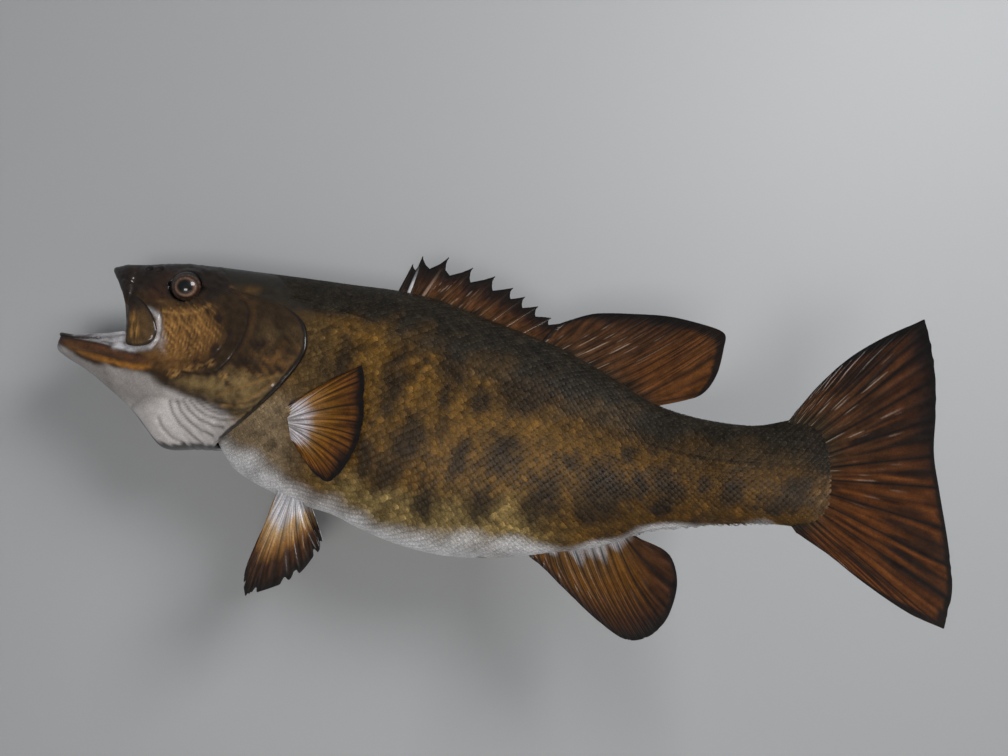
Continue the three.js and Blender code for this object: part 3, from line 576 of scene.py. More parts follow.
@dataclass
class Markings:
    """The fish's colours, worked out from a point's place on it, for the skin and scales alike.

    Args:
        anatomy: Sections of the fish.
        saddles: Dark patches along the back, as dab takes them.
        blotches: Dark patches on the flank, as dab takes them.
        spots: Small dark spots, as (station, height, radius).
        dark_limit: Height above which the back is dark.
        white_limit: Height below which the belly is white.
        right_shift: Distance by which the right side's marks lie further forward.
    """

    anatomy: Anatomy
    saddles: Spots = (
        (118, 54, 8, 9), (147, 50, 9, 9), (166, 43, 5, 7), (185, 43, 7, 10), (196, 28, 6, 8),
        (213, 32, 7, 8), (238, 22, 12, 11), (260, 8, 10, 8), (270, 15, 10, 7), (277, 2, 4, 4),
        (302, -13, 11, 11), (330, -18, 10, 5), (355, -21, 8, 6), (371, -28, 4.5, 11),
    )
    blotches: Spots = (
        (161, 12, 7.5, 17, -8), (158, -4, 5, 5), (192, 17, 9, 15, 12), (197, -30, 5, 12, -24),
        (209, 0, 7, 8), (224, 0, 6, 8), (232, 0, 17, 10), (222, -28, 10, 11), (145, -29, 6, 12),
        (169, -20, 7.5, 15, -32), (156, -38, 7, 12, -32), (207, -54, 8, 9), (236, -56, 7, 9),
        (245, -48, 9, 11), (275, -46, 12.5, 15), (259, -32, 3.4, 3.4), (288, -27, 3, 5),
        (293, -43, 3.6, 7), (307, -42, 7.5, 9), (302, -53, 6, 5), (324, -42, 3.6, 4),
        (336, -46, 4.2, 8, -20), (361, -44, 5, 6.5), (356, -52, 6, 4.4), (133, 18, 6, 16, -10),
        (177, -52, 6, 9, -20), (189, 2, 4, 8), (264, -56, 6, 7),
    )
    spots: Spots = (
        (172, 16, 2), (175, 21, 2), (171, 10, 1.8), (188, -10, 2), (186, -16, 3.2), (206, -34, 2.2),
        (192, -37, 2), (173, -44, 2), (168, -50, 1.8), (176, -39, 2), (158, -52, 1.8), (262, -27, 2),
        (292, -47, 2), (289, -55, 2.2), (348, -47, 2), (347, -51, 1.8), (236, -36, 2.4),
        (135, -12, 2), (150, -12, 1.8), (213, -44, 2), (252, -28, 2),
    )
    dark_limit: Track = Track(
        (60, 62), (90, 51), (115, 45), (140, 46), (160, 43), (185, 34), (200, 28), (225, 20),
        (240, 12), (262, 6), (275, 0), (290, -9), (310, -18), (345, -21), (372, -30),
    )
    white_limit: Track = Track(
        (58, -14), (72, -19), (85, -25), (100, -37), (112, -44), (130, -51), (160, -63), (200, -67),
        (230, -69), (250, -75), (268, -71), (290, -63), (304, -61), (329, -59.4), (350, -59),
        (360, -63), (372, -66),
    )
    right_shift: float = 7.0

    def body(self, s: Array, h: Array, side: Array) -> Array:
        """Colours of the trunk and the tail's root.

        Args:
            s: Station of each point.
            h: Height of each point.
            side: 1 for the left and -1 for the right.

        Returns:
            One linear colour for each point.
        """
        wave = ripple(s, h, side * 40, 17, 3)
        fine = ripple(s, h, side * 40, 6, 4)
        flank_s = s + np.where(side > 0, 0, self.right_shift) + 1.6 * wave
        flank_h = h + 1.4 * fine
        line = self.anatomy.lateral_line(s)
        coat = Coat(len(s), FLANK_GOLD)
        coat.lay(TAIL_GOLD, smooth((s - 235) / 70))
        white = self.white_limit(s)
        low = smooth((white + 27 - h + 3 * wave) / 24) * smooth((262 - s) / 40)
        coat.lay(LOW_OLIVE, 0.75 * low * smooth((s - 105) / 40))
        coat.lay((0.050, 0.034, 0.016), 0.65 * dab(s, h, (116, 24, 14, 28), 0.6))
        coat.lay(BREAST_GOLD, 0.8 * smooth((118 - s) / 20) * smooth((14 - h) / 20))
        streak = ripple(s + 0.2 * h, h * 0.3, side * 40, 2.4, 6) * smooth((s - 100) / 20)
        coat.lay(BACK_BROWN, 0.5 * smooth((streak - 0.1) / 1.1))
        coat.lay(BACK_BROWN, 0.4 * smooth((ripple(s, h, side * 40, 11, 5) - 0.1) / 1.2))
        coat.lay(BACK_BROWN, 0.9 * smooth((h - line + 9 + 4 * wave) / 16))
        dark = np.zeros(len(s))
        for spot in self.blotches:
            dark = np.maximum(dark, 0.9 * dab(flank_s, flank_h, spot, 0.5))
        for at_s, at_h, radius in self.spots:
            dark = np.maximum(dark, 0.8 * dab(flank_s, flank_h, (at_s, at_h, radius, radius), 0.5))
        coat.lay(BLOTCH_BROWN, dark * (0.92 + 0.08 * fine))
        for spot in self.saddles:
            coat.lay(BACK_DARK, 0.85 * dab(flank_s, flank_h, spot, 0.45))
        coat.lay(BACK_DARK, 0.92 * smooth((h - self.dark_limit(s) + 4 * wave + 6) / 14))
        rows = np.sin((h + 0.24 * (s - 160)) * 2 * np.pi / 3.1) * smooth((s - 120) / 20)
        stripes = smooth((215 - s) / 30) * bump(h, -53, 11)
        coat.shade(1 - 0.3 * stripes * smooth(rows * 0.5 + 0.5))
        soft = np.interp(s, (120, 235, 262), (15, 12, 3.4))
        start = np.interp(s, (120, 235, 262), (3.5, 3, 0.2))
        white_belly = smooth((white + start - h + 1.5 * wave) / soft)
        coat.lay(BELLY_WHITE, white_belly * smooth((366 - s) / 10))
        coat.lay(FLANK_GOLD, 0.35 * bump(h, -82, 8) * bump(s, 213, 9))
        coat.lay(BLOTCH_BROWN, 0.75 * dab(s, h, (205, -82.5, 2.6, 2.2), 0.5))
        # Small pale streak at the rear of the soft dorsal fin's root: a painted highlight, a glint of the
        # varnish.
        coat.lay(BARE_WHITE, 0.45 * dab(s, h, (294, 2.5, 8, 1.4, -32), 0.6) * smooth(0.5 + fine))
        tan = dab(s, h, (371, -46, 6.5, 11), 0.5)
        coat.lay(BLOTCH_BROWN, 0.75 * smooth((s - 362) / 6) * smooth((h + 42) / 8))
        coat.lay((0.26, 0.16, 0.085), 0.4 * tan * smooth(1.2 * ripple(s, h, side * 40, 2.2, 9)))
        coat.shade(1 + 0.10 * wave + 0.08 * fine)
        return coat.colour


@dataclass(frozen=True)
class Stroke:
    """A painted or pressed line on the head.

    Args:
        line: Where it runs.
        width: Half its width.
        colour: Its colour, or none for a crease with no paint of its own.
        cover: How fully the colour covers.
        relief: Height of the ridge, or the depth of the groove when negative.
    """

    line: Line
    width: float
    colour: Optional[Colour] = None
    cover: float = 0.0
    relief: float = 0.0

    def touch(self, s: Array, h: Array) -> Array:
        """Share by which each point lies on the stroke."""
        return bump(self.line.distance(s, h), 0, self.width)


def gill_rays(count: int = 6) -> tuple[Stroke, ...]:
    """Thin dark folds of the throat's skin over its rays, fanned between the first and the last.

    Args:
        count: Number of folds.

    Returns:
        One stroke for each fold.
    """
    first = np.array(((41, 0), (42.5, -6), (46, -12), (52, -18), (57, -22)))
    last = np.array(((60, 0), (66, -4), (73, -5.5), (82, -5), (90, -2)))
    return tuple(
        Stroke(Line(*mix(first, last, share)), 0.75, HEAD_DARK, 0.6, -0.3)
        for share in np.linspace(0, 1, count)
    )


@dataclass
class HeadDetail:
    """Creases, plates and colours of the head, drawn as (station, height).

    Args:
        anatomy: Sections of the fish.
        eye: Station, height, half length and half height of the eye's socket.
        preopercle: Rear edge of the cheek.
        cover_plate: Outline of the gill cover's main plate.
        lower_plate: Outline of the plate below it.
        strokes: Lines that are painted, pressed or both.
        wrinkles: Ridges of the dried cheek.
        mottles: Dark glossy patches, as dab takes them.
        knobs: Small pale bumps, as dab takes them.
        nostrils: The two nostrils, as dab takes them.
    """

    anatomy: Anatomy
    eye: tuple[float, ...] = (46.4, 60.5, 8.3, 7.6)
    preopercle: Line = Line(
        (74, 57), (79, 53), (82, 46), (82, 38), (80, 31), (78, 27), (74, 21), (70, 17), (66, 14),
        (62, 13.2), (55, 13.5), (48, 15),
    )
    cover_plate: Line = Line(
        (80, 60), (92, 56), (101, 49), (107, 43), (111, 36), (112, 30), (111, 24), (107, 19),
        (98, 15), (88, 13), (80, 16), (80, 27), (84, 38), (84, 48), (79, 56), closed=True,
    )
    lower_plate: Line = Line(
        (42, 10), (50, 13), (62, 12), (70, 15), (78, 15), (90, 12), (104, 13), (97, 5), (88, 1),
        (76, -3), (62, 0), (50, 4), closed=True,
    )
    strokes: tuple[Stroke, ...] = (
        Stroke(preopercle, 0.6, GLOSS_BROWN, 0.85, -0.4),
        Stroke(Line((72, 60), (77, 56), (84, 50), (85, 44), (84.6, 38), (83, 31), (80, 25)), 1.5,
               CHEEK_GOLD, 0.15, 0.1),
        Stroke(Line((70, 60.7), (84, 57.6), (93, 53.5)), 0.6, CHEEK_STREAK, 0.16, 0.1),
        Stroke(Line((33, 19), (45, 20.2), (53, 20.4), (60, 20), (66, 23), (71, 29), (73, 36)), 1.1,
               GLOSS_BROWN, 0.35, -0.5),
        Stroke(Line((76, -3), (64, -0.5), (55, 2.2), (48, 5), (42, 9)), 1.1, COVER_BROWN, 0.55, -0.7),
        Stroke(Line((68, 2), (78, 6), (90, 9), (99, 12)), 0.9, CHEEK_STREAK, 0.3, 0.3),
        Stroke(Line((70, -3), (80, -2), (90, 3), (97, 8)), 0.9, CHEEK_STREAK, 0.3, 0.3),
        Stroke(Line((66, 0), (74, -2.5), (84, -1.5), (93, 2)), 0.6, COVER_BROWN, 0.6, -0.5),
        Stroke(Line((34, -9), (36, -14), (40, -19), (46, -22)), 0.9, CHIN_GREY, 0.6, -0.8),
        # The throat's fold is pressed in and painted grey along it: a painted shadow in the crease.
        Stroke(Line((17, -2), (25, 1.5), (35, 2), (41, 1), (46, -1)), 1.3, CHIN_GREY, 0.5, -0.9),
        Stroke(Line((-12, 28), (5, 24.5), (20, 20.5), (29, 19)), 0.9, JAW_TIP, 0.4, -0.4),
        Stroke(Line((34.5, 48), (35.6, 38), (35, 32), (31, 26.6), (20, 26.2)), 0.9, None, 0, -0.8),
        Stroke(Line((6, 66), (12, 66), (20, 63), (28, 61), (34, 57)), 1.1, JAW_TIP, 0.5, -0.6),
        Stroke(Line((38, 52), (46, 50), (54, 52), (60, 57), (61, 63)), 1.2, GLOSS_BROWN, 0.45, -0.5),
        Stroke(Line((36, 47), (45, 45), (54, 46), (61, 50)), 0.8, CHEEK_STREAK, 0.5, 0.35),
        Stroke(Line((62, 71), (72, 68.5), (84, 66), (95, 60)), 1.2, BACK_DARK, 0.3, -0.4),
        *gill_rays(),
    )
    wrinkles: tuple[Spots, ...] = (
        ((40, 44), (44, 33), (45, 20)), ((44, 44), (48.5, 34), (49, 22)),
        ((48, 44), (53, 34), (53, 24)), ((52, 44), (57, 35), (58, 26)),
        ((57, 43), (61.5, 36), (63, 28)), ((37, 42), (39, 32), (40, 22)),
        ((61, 42), (66, 37), (68, 31)), ((65, 47), (70, 41), (73, 35)),
    )
    mottles: Spots = (
        (60, 20, 6.5, 5), (72, 10, 4.5, 4), (84, 20, 4, 3), (95, 24, 3, 3), (66, 26, 3, 3.5),
        (63, 46, 9, 3, -48), (70, 38, 8, 2.6, -50), (46, 12.8, 3, 1.6), (90, 29, 4, 3), (77, 5, 3, 2),
    )
    knobs: Spots = (
        (44, 14, 3.4, 2.2), (52, 16.4, 3, 1.6), (58, 17, 2.2, 1.6), (64, 19, 2.4, 2), (71, 12, 2.4, 2),
    )
    nostrils: Spots = ((24.5, 71.6, 1.5, 1.2), (30, 71.2, 1.8, 1.4))

    @staticmethod
    def reach(s: Array, h: Array, at: Sequence[float], grow: float = 0.0) -> Array:
        """Distance from an oval's middle, as a share of its half size."""
        return np.hypot((s - at[0]) / (at[2] + grow), (h - at[1]) / (at[3] + grow))

    def relief(self, s: Array, h: Array) -> Array:
        """Height of the skin's own detail over the smooth head.

        Args:
            s: Station of each point.
            h: Height of each point.

        Returns:
            The heights, in millimetres.
        """
        high = sum(stroke.relief * stroke.touch(s, h) for stroke in self.strokes)
        for corners in self.wrinkles:
            high += 0.1 * bump(Line(*corners).distance(s, h), 0, 0.8)
        cheek = dab(s, h, (50, 36, 17, 17), 0.4)
        high += 0.2 * cheek * self.crinkle(s, h)
        glossy = sum(dab(s, h, at, 0.5) for at in self.mottles[:3])
        high += 0.15 * glossy * ripple(s, h, 0 * s, 2.2, 24)
        high += 0.2 * smooth((self.cover_plate.depth(s, h) + 1) / 3)
        high += 0.2 * smooth((self.lower_plate.depth(s, h) + 1) / 3)
        rays = (s - 40) * 0.8 + (h + 20) * 0.6
        fold = smooth((3 - h) / 6) * smooth((s - 42) / 8) * smooth((92 - s) / 10)
        high += 0.15 * fold * np.sin(rays * 1.6)
        high += 0.55 * bump(self.reach(s, h, self.eye, 1.2), 1.02, 0.13)
        high += 0.5 * dab(s, h, (47, 69.6, 13, 2.2, 2), 0.6)
        high -= 7.0 * smooth((1.04 - self.reach(s, h, self.eye)) / 0.14)
        for at in self.nostrils:
            high -= 1.1 * dab(s, h, at, 0.35)
            high += 0.45 * bump(self.reach(s, h, at, 0.8), 1, 0.25)
        for at in self.knobs:
            high += 0.5 * dab(s, h, at, 0.6)
        over = h - self.jaw_top(s)
        high += 0.8 * bump(over, -3.0, 2.6) * smooth((30 - s) / 6)
        tissue = smooth(over / 1.4) * smooth((42 - h) / 2)
        high -= 0.9 * tissue * smooth((24 - s) / 6) * smooth((s + 26) / 8)
        high += 0.14 * ripple(s, h, 0 * s, 4.2, 21) * smooth((s - 34) / 10) * smooth((h + 2) / 10)
        high += 0.06 * ripple(s, h, 0 * s, 2.1, 22) * smooth((h - 6) / 12)
        return high

    @staticmethod
    def crinkle(s: Array, h: Array) -> Array:
        """Fine wrinkles of the dried cheek, about -1 to 1."""
        return ripple(s * 0.75 + h * 0.35, h * 0.95 - s * 0.35, 0 * s, 2.0, 23)

    @staticmethod
    def jaw_top(s: Array) -> Array:
        """Height of the upper edge of the lower jaw's lip at a station."""
        return np.interp(s, (-29, -25, -12, 5, 20, 28), (36, 35.5, 33, 29.5, 25, 23))

    @staticmethod
    def jaw_low(s: Array) -> Array:
        """Height of the lower edge of the lower jaw's brown stripe at a station."""
        return np.interp(s, (-29, -24, -10, 0, 12, 22, 38), (33, 31, 25, 21, 18, 15.5, 16))

    def colours(self, s: Array, h: Array, side: Array, rear: Array) -> Array:
        """Colours of the outside of the head.

        Args:
            s: Station of each point.
            h: Height of each point.
            side: 1 for the left and -1 for the right.
            rear: Distance of each point ahead of the gill flap's rear edge.

        Returns:
            One linear colour for each point.
        """
        wave = ripple(s, h, side * 40, 13, 7)
        fine = ripple(s, h, side * 40, 4.5, 8)
        grain = ripple(s, h, side * 40, 2.0, 9)
        coat = Coat(len(s), COVER_BROWN)
        coat.lay(PALE_OLIVE, 0.12 * dab(s, h, (97, 28, 12, 12), 0.6) * smooth(0.6 + 0.5 * wave))
        coat.lay(CHEEK_GOLD, 0.55 * dab(s, h, (95, 17, 17, 9, 18), 0.8) * smooth(0.6 + 0.7 * fine))
        coat.lay(CHEEK_GOLD, 0.92 * dab(s, h, (49, 34, 18, 17), 0.45))
        coat.lay(CHEEK_GOLD, 0.6 * dab(s, h, (35, 22, 12, 5), 0.5))
        coat.lay(CHEEK_STREAK, 0.3 * dab(s, h, (49, 40, 9, 8), 0.5) * smooth(0.5 + 0.6 * fine))
        # The wrinkle ridges are painted lighter: a painted highlight along the ridges of the relief.
        for corners in self.wrinkles:
            touch = bump(Line(*corners).distance(s, h), 0, 1.0)
            coat.lay(CHEEK_STREAK, 0.2 * touch * smooth((66 - s) / 8))
        # The crests of the fine crinkles are painted lighter and their troughs darker, following the same
        # relief: painted highlight and painted shade.
        crest = self.crinkle(s, h)
        cheek = dab(s, h, (50, 37, 17, 16), 0.4)
        coat.lay(CHEEK_STREAK, 0.55 * cheek * smooth((crest - 0.3) / 0.9))
        coat.lay(COVER_BROWN, 0.55 * cheek * smooth((-crest - 0.3) / 0.9))
        coat.lay(COVER_BROWN, 0.75 * smooth((h - 47 + 2 * fine) / 6) * smooth((70 - s) / 10))
        crown = np.interp(s, (0, 30, 60, 80, 100, 112), (54, 53, 50, 53, 50, 46))
        coat.lay(HEAD_DARK, 0.96 * smooth((h - crown + 3 * wave) / 10))
        warm = 0.6 * dab(s, h, (32, 57, 6, 5), 0.7) + 0.4 * dab(s, h, (38, 66, 8, 3), 0.8)
        coat.lay((0.055, 0.022, 0.010), warm)
        coat.lay(HEAD_DARK, 0.9 * smooth((24 - s + 2 * wave) / 7) * smooth((h - 50) / 5))
        # Small pale dash under the eye: a painted highlight, a glint on the cheek.
        coat.lay(CHEEK_STREAK, 0.2 * dab(s, h, (38, 52, 5, 1.2, -8), 0.6))
        coat.lay(PALE_OLIVE, 0.7 * smooth((self.lower_plate.depth(s, h) + 3 + fine) / 9))
        coat.lay(BACK_BROWN, 0.5 * dab(s, h, (62, 3, 12, 3, -6), 0.6))
        coat.lay(COVER_BROWN, 0.4 * dab(s, h, (95, 8, 10, 6, 30), 0.8))
        coat.lay(GLOSS_BROWN, 0.5 * smooth((grain - 0.3) / 0.7) * dab(s, h, (92, 28, 20, 26), 0.4))
        for at in self.mottles:
            cover = dab(s, h, at, 0.5)
            coat.lay(GLOSS_BROWN, 0.9 * cover * smooth(0.55 + 0.75 * fine))
        for at in self.knobs:
            coat.lay(CHEEK_STREAK, 0.6 * dab(s, h, at, 0.6) * smooth(0.6 + 0.5 * grain))
        low = np.interp(s, (-29, 10, 30, 41, 50, 62, 75, 90), (60, 19, 16, 8, 2, -2, -6, -9))
        coat.lay(CHIN_GREY, smooth((low - h + 1.2 * wave) / 5) * smooth((s - 2) / 8))
        white = dab(s, h, (50, -9, 19, 13), 0.4) + smooth((low - 14 - h) / 10)
        coat.lay(THROAT_WHITE, np.clip(white, 0, 1) * smooth((low + 3 - h) / 6))
        coat.lay(PALE_OLIVE, 0.55 * dab(s, h, (85, -6, 11, 7, 30), 0.7))
        under_jaw = smooth((self.jaw_low(s) - h) / 3.5) * smooth((14 - s) / 14)
        coat.lay(CHIN_GREY, under_jaw)
        base = h - self.jaw_low(s)
        jaw = smooth((base + 0.7 + 0.2 * fine) / 3.0) * smooth((34 - s) / 8)
        over = h - self.jaw_top(s)
        jaw *= smooth((0.8 - over) / 1.2)
        coat.lay(JAW_BROWN, jaw)
        coat.lay(JAW_GOLD, 0.9 * jaw * bump(base, 1.6, 2.4) * smooth((s + 22) / 16))
        tissue = smooth(over / 1.0) * smooth((24 - s) / 4) * smooth((44 - h) / 2)
        coat.lay(MOUTH_WHITE, tissue)
        coat.lay(COVER_BROWN, 0.6 * tissue * smooth(0.1 + 0.9 * ripple(s * 0.2, h, 0 * s, 1.6, 12)))
        coat.lay(JAW_TIP, 0.8 * tissue * smooth((-10 - s + 2 * fine) / 5))
        tip = smooth((-15 - s + 2 * fine) / 10) * smooth((base + 3) / 4)
        coat.lay(JAW_TIP, 0.95 * tip)
        coat.lay(JAW_TIP, 0.7 * smooth((30 - s) / 6) * bump(over, 0, 0.8))
        for stroke in self.strokes:
            if stroke.colour is not None:
                coat.lay(stroke.colour, stroke.cover * stroke.touch(s, h))
        membrane = Line((28, 49), (34, 44), (35.2, 38), (34.6, 33), (31, 28), (22, 27.4), (12, 28.6))
        pale = bump(membrane.distance(s, h), 0, 1.5)
        coat.lay(BARE_WHITE, 0.6 * pale * smooth((51 - h) / 4))
        coat.lay(BARE_WHITE, 0.3 * dab(s, h, (36.5, 31, 2.6, 6, 10), 0.8) * smooth(0.7 + 0.5 * fine))
        coat.lay(EDGE_BLACK, smooth((1.2 - self.reach(s, h, self.eye)) / 0.12))
        # The nostril pits are painted near-black: painted shade for the depth of the openings.
        for at in self.nostrils:
            coat.lay(EDGE_BLACK, 0.75 * dab(s, h, at, 0.5))
        # The lowest strip of the head, just over the chin's outline, is painted near-black: painted shade
        # on the head's underside.
        under = smooth((5 - h + self.anatomy.chin(s) + 0.5 * fine) / 2.5) * smooth((s - 12) / 14)
        coat.lay(EDGE_BLACK, 0.9 * under * smooth((92 - s) / 10))
        calm = 1 - 0.75 * smooth((low + 2 - h) / 6)
        coat.shade(1 + calm * (0.10 * wave + 0.13 * fine + 0.08 * grain))
        border = np.interp(h, (-10, 50), (2.8, 1.4)) + 0.4 * fine
        border = 0.9 * smooth((border - rear) / 1.2)
        coat.lay(EDGE_BLACK, border * smooth((h + 24) / 6) * smooth((64 - h) / 6))
        return coat.colour

    def lining(self, s: Array, h: Array, side: Array, inward: Array, upper: Array) -> Array:
        """Colours inside the mouth.

        Args:
            s: Station of each point.
            h: Height of each point.
            side: 1 for the left and -1 for the right.
            inward: 0 at the lip and 1 at the gullet.
            upper: True for points of the upper jaw.

        Returns:
            One linear colour for each point.
        """
        fine = ripple(s, h, side * 20, 5, 11)
        coat = Coat(len(s), MOUTH_WHITE)
        coat.lay(MOUTH_DARK, smooth((inward - 0.45) / 0.45))
        coat.lay((0.46, 0.30, 0.26), 0.4 * smooth((inward - 0.12) / 0.2) * smooth(0.6 + 0.5 * fine))
        rim = np.where(upper, 1, smooth((4 - s) / 10))
        coat.lay(JAW_TIP, 0.85 * smooth((0.06 - inward) / 0.03) * rim)
        coat.lay(JAW_TIP, 0.5 * smooth((0.16 - inward) / 0.06) * smooth(0.3 + 0.9 * fine) * (s < -4))
        coat.shade(1 + 0.08 * fine)
        return coat.colour


# ---- Finishes ------------------------------------------------------------------------------


def value_socket(group: bpy.types.NodeTree, name: str, way: str, start: float = 0.0) -> None:
    """Adds a number socket to a node group."""
    made = group.interface.new_socket(name=name, in_out=way, socket_type="NodeSocketFloat")
    made.default_value = start


def colour_socket(group: bpy.types.NodeTree, name: str, way: str) -> None:
    """Adds a colour socket to a node group."""
    group.interface.new_socket(name=name, in_out=way, socket_type="NodeSocketColor")


class Nodes:
    """Short way to add and join shader nodes in one tree."""

    def __init__(self, tree: bpy.types.NodeTree) -> None:
        """Keeps the tree that nodes are added to."""
        self.tree = tree

    def add(self, kind: str, **settings: object) -> bpy.types.Node:
        """Adds one node.

        Args:
            kind: Blender's name for the kind of node.
            **settings: Properties to set on it.

        Returns:
            The new node.
        """
        node = self.tree.nodes.new(kind)
        for name, value in settings.items():
            setattr(node, name, value)
        return node

    def join(self, start: Socket, end: Socket) -> None:
        """Joins an output to an input."""
        self.tree.links.new(start, end)

    def noise(self, place: Socket, scale: float, detail: float = 3.0) -> Socket:
        """Adds a noise texture.

        Args:
            place: Where it is read, in metres.
            scale: Number of its features in a metre.
            detail: Number of finer layers.

        Returns:
            The noise, 0 to 1.
        """
        node = self.add("ShaderNodeTexNoise")
        node.inputs["Scale"].default_value = scale
        node.inputs["Detail"].default_value = detail
        self.join(place, node.inputs["Vector"])
        return node.outputs["Fac"]

    def remap(self, value: Socket, *limits: float) -> Socket:
        """Moves a value from one range to another and keeps it inside it.

        Args:
            value: The value.
            *limits: Both ends of the first range, then both ends of the second.

        Returns:
            The new value.
        """
        node = self.add("ShaderNodeMapRange")
        for slot, number in zip(node.inputs[1:5], limits):
            slot.default_value = number
        self.join(value, node.inputs[0])
        return node.outputs[0]

    def math(self, kind: str, a: Socket, b: Socket | float) -> Socket:
        """Adds a sum, a product or the like.

        Args:
            kind: Blender's name for the operation.
            a: First value.
            b: Second value, or a plain number.

        Returns:
            The result.
        """
        node = self.add("ShaderNodeMath", operation=kind)
        self.join(a, node.inputs[0])
        if isinstance(b, Socket):
            self.join(b, node.inputs[1])
        else:
            node.inputs[1].default_value = b
        return node.outputs[0]


class BrushedPaint:
    """Shader group that breaks up a painted colour, and gives the varnish over it its own relief.

    The scales count the features of each noise in a metre.
    """

    name = "brushed_paint"
    cloud_scale = 260.0
    grain_scale = 1500.0
    ripple_scale = 420.0

    @classmethod
    def group(cls) -> bpy.types.NodeTree:
        """The group, built once."""
        found = bpy.data.node_groups.get(cls.name)
        return found or cls().build()

    def build(self) -> bpy.types.NodeTree:
        """Makes the group: a painted colour goes in, and a broken colour, gloss and height come out.

        Returns:
            The group's node tree.
        """
        tree = bpy.data.node_groups.new(self.name, "ShaderNodeTree")
        colour_socket(tree, "Paint", "INPUT")
        value_socket(tree, "Mottle", "INPUT", 0.3)
        value_socket(tree, "Grain", "INPUT", 0.2)
        colour_socket(tree, "Colour", "OUTPUT")
        value_socket(tree, "Roughness", "OUTPUT")
        value_socket(tree, "Height", "OUTPUT")
        nodes = Nodes(tree)
        entry = nodes.add("NodeGroupInput")
        leave = nodes.add("NodeGroupOutput")
        place = nodes.add("ShaderNodeTexCoord").outputs["Object"]
        cloud = nodes.noise(place, self.cloud_scale, 4.0)
        grain = nodes.noise(place, self.grain_scale, 2.0)
        ripples = nodes.noise(place, self.ripple_scale, 1.0)
        light = nodes.add("ShaderNodeRGBToBW")
        nodes.join(entry.outputs["Paint"], light.inputs[0])
        calm = nodes.remap(light.outputs[0], 0.08, 0.3, 1.0, 0.3)
        cloudy, grainy = (nodes.remap(noise, 0.3, 0.7, -1.0, 1.0) for noise in (cloud, grain))
        soft = nodes.math("MULTIPLY", cloudy, entry.outputs["Mottle"])
        soft = nodes.math("MULTIPLY", soft, calm)
        fine = nodes.math("MULTIPLY", grainy, entry.outputs["Grain"])
        change = nodes.math("ADD", nodes.math("ADD", soft, fine), 1.0)
        blend = nodes.add("ShaderNodeVectorMath", operation="SCALE")
        nodes.join(entry.outputs["Paint"], blend.inputs[0])
        nodes.join(change, blend.inputs["Scale"])
        nodes.join(blend.outputs[0], leave.inputs["Colour"])
        nodes.join(nodes.remap(cloud, 0.3, 0.7, 0.32, 0.5), leave.inputs["Roughness"])
        height = nodes.math("ADD", nodes.math("MULTIPLY", grain, 0.35), ripples)
        nodes.join(height, leave.inputs["Height"])
        return tree


@dataclass(frozen=True)
class Finish:
    """A finish, whose material is made once.

    Args:
        name: Name of the material.
    """

    name: str

    def material(self) -> bpy.types.Material:
        """Makes the material, or finds the one made before.

        Returns:
            The material.
        """
        found = bpy.data.materials.get(self.name)
        if found:
            return found
        made = bpy.data.materials.new(self.name)
        made.use_nodes = True
        self.dress(Nodes(made.node_tree), made.node_tree.nodes["Principled BSDF"])
        return made

    def dress(self, nodes: Nodes, shader: bpy.types.Node) -> None:
        """Sets the finish's own numbers and nodes; a bare finish has none."""


@dataclass(frozen=True)
class PaintedFinish(Finish):
    """Painted skin or bone under clear gloss varnish, its colour held by the mesh.

    Args:
        name: Name of the material.
        mottle: Strength of the cloudy change of tone.
        grain: Strength of the fine change of tone.
        bump: Strength of the varnish's own relief.
        coat: Weight of the varnish.
        coat_roughness: Roughness of the varnish.
        relief_height: Height of the relief, in metres.
        sheen: Gloss of the paint under the varnish.
    """

    mottle: float = 0.22
    grain: float = 0.16
    bump: float = 0.12
    coat: float = 0.6
    coat_roughness: float = 0.14
    relief_height: float = 0.0006
    sheen: float = 0.12

    def dress(self, nodes: Nodes, shader: bpy.types.Node) -> None:
        """Joins the mesh's paint to the shader by way of the brushed paint.

        Args:
            nodes: The material's nodes.
            shader: Its main shader.
        """
        paint = nodes.add("ShaderNodeAttribute", attribute_name="paint")
        group = nodes.add("ShaderNodeGroup", node_tree=BrushedPaint.group())
        group.inputs["Mottle"].default_value = self.mottle
        group.inputs["Grain"].default_value = self.grain
        nodes.join(paint.outputs["Color"], group.inputs["Paint"])
        nodes.join(group.outputs["Colour"], shader.inputs["Base Color"])
        nodes.join(group.outputs["Roughness"], shader.inputs["Roughness"])
        relief = nodes.add("ShaderNodeBump")
        relief.inputs["Strength"].default_value = self.bump
        relief.inputs["Distance"].default_value = self.relief_height
        nodes.join(group.outputs["Height"], relief.inputs["Height"])
        nodes.join(relief.outputs["Normal"], shader.inputs["Normal"])
        shader.inputs["Specular IOR Level"].default_value = self.sheen
        shader.inputs["Coat Weight"].default_value = self.coat
        shader.inputs["Coat Roughness"].default_value = self.coat_roughness


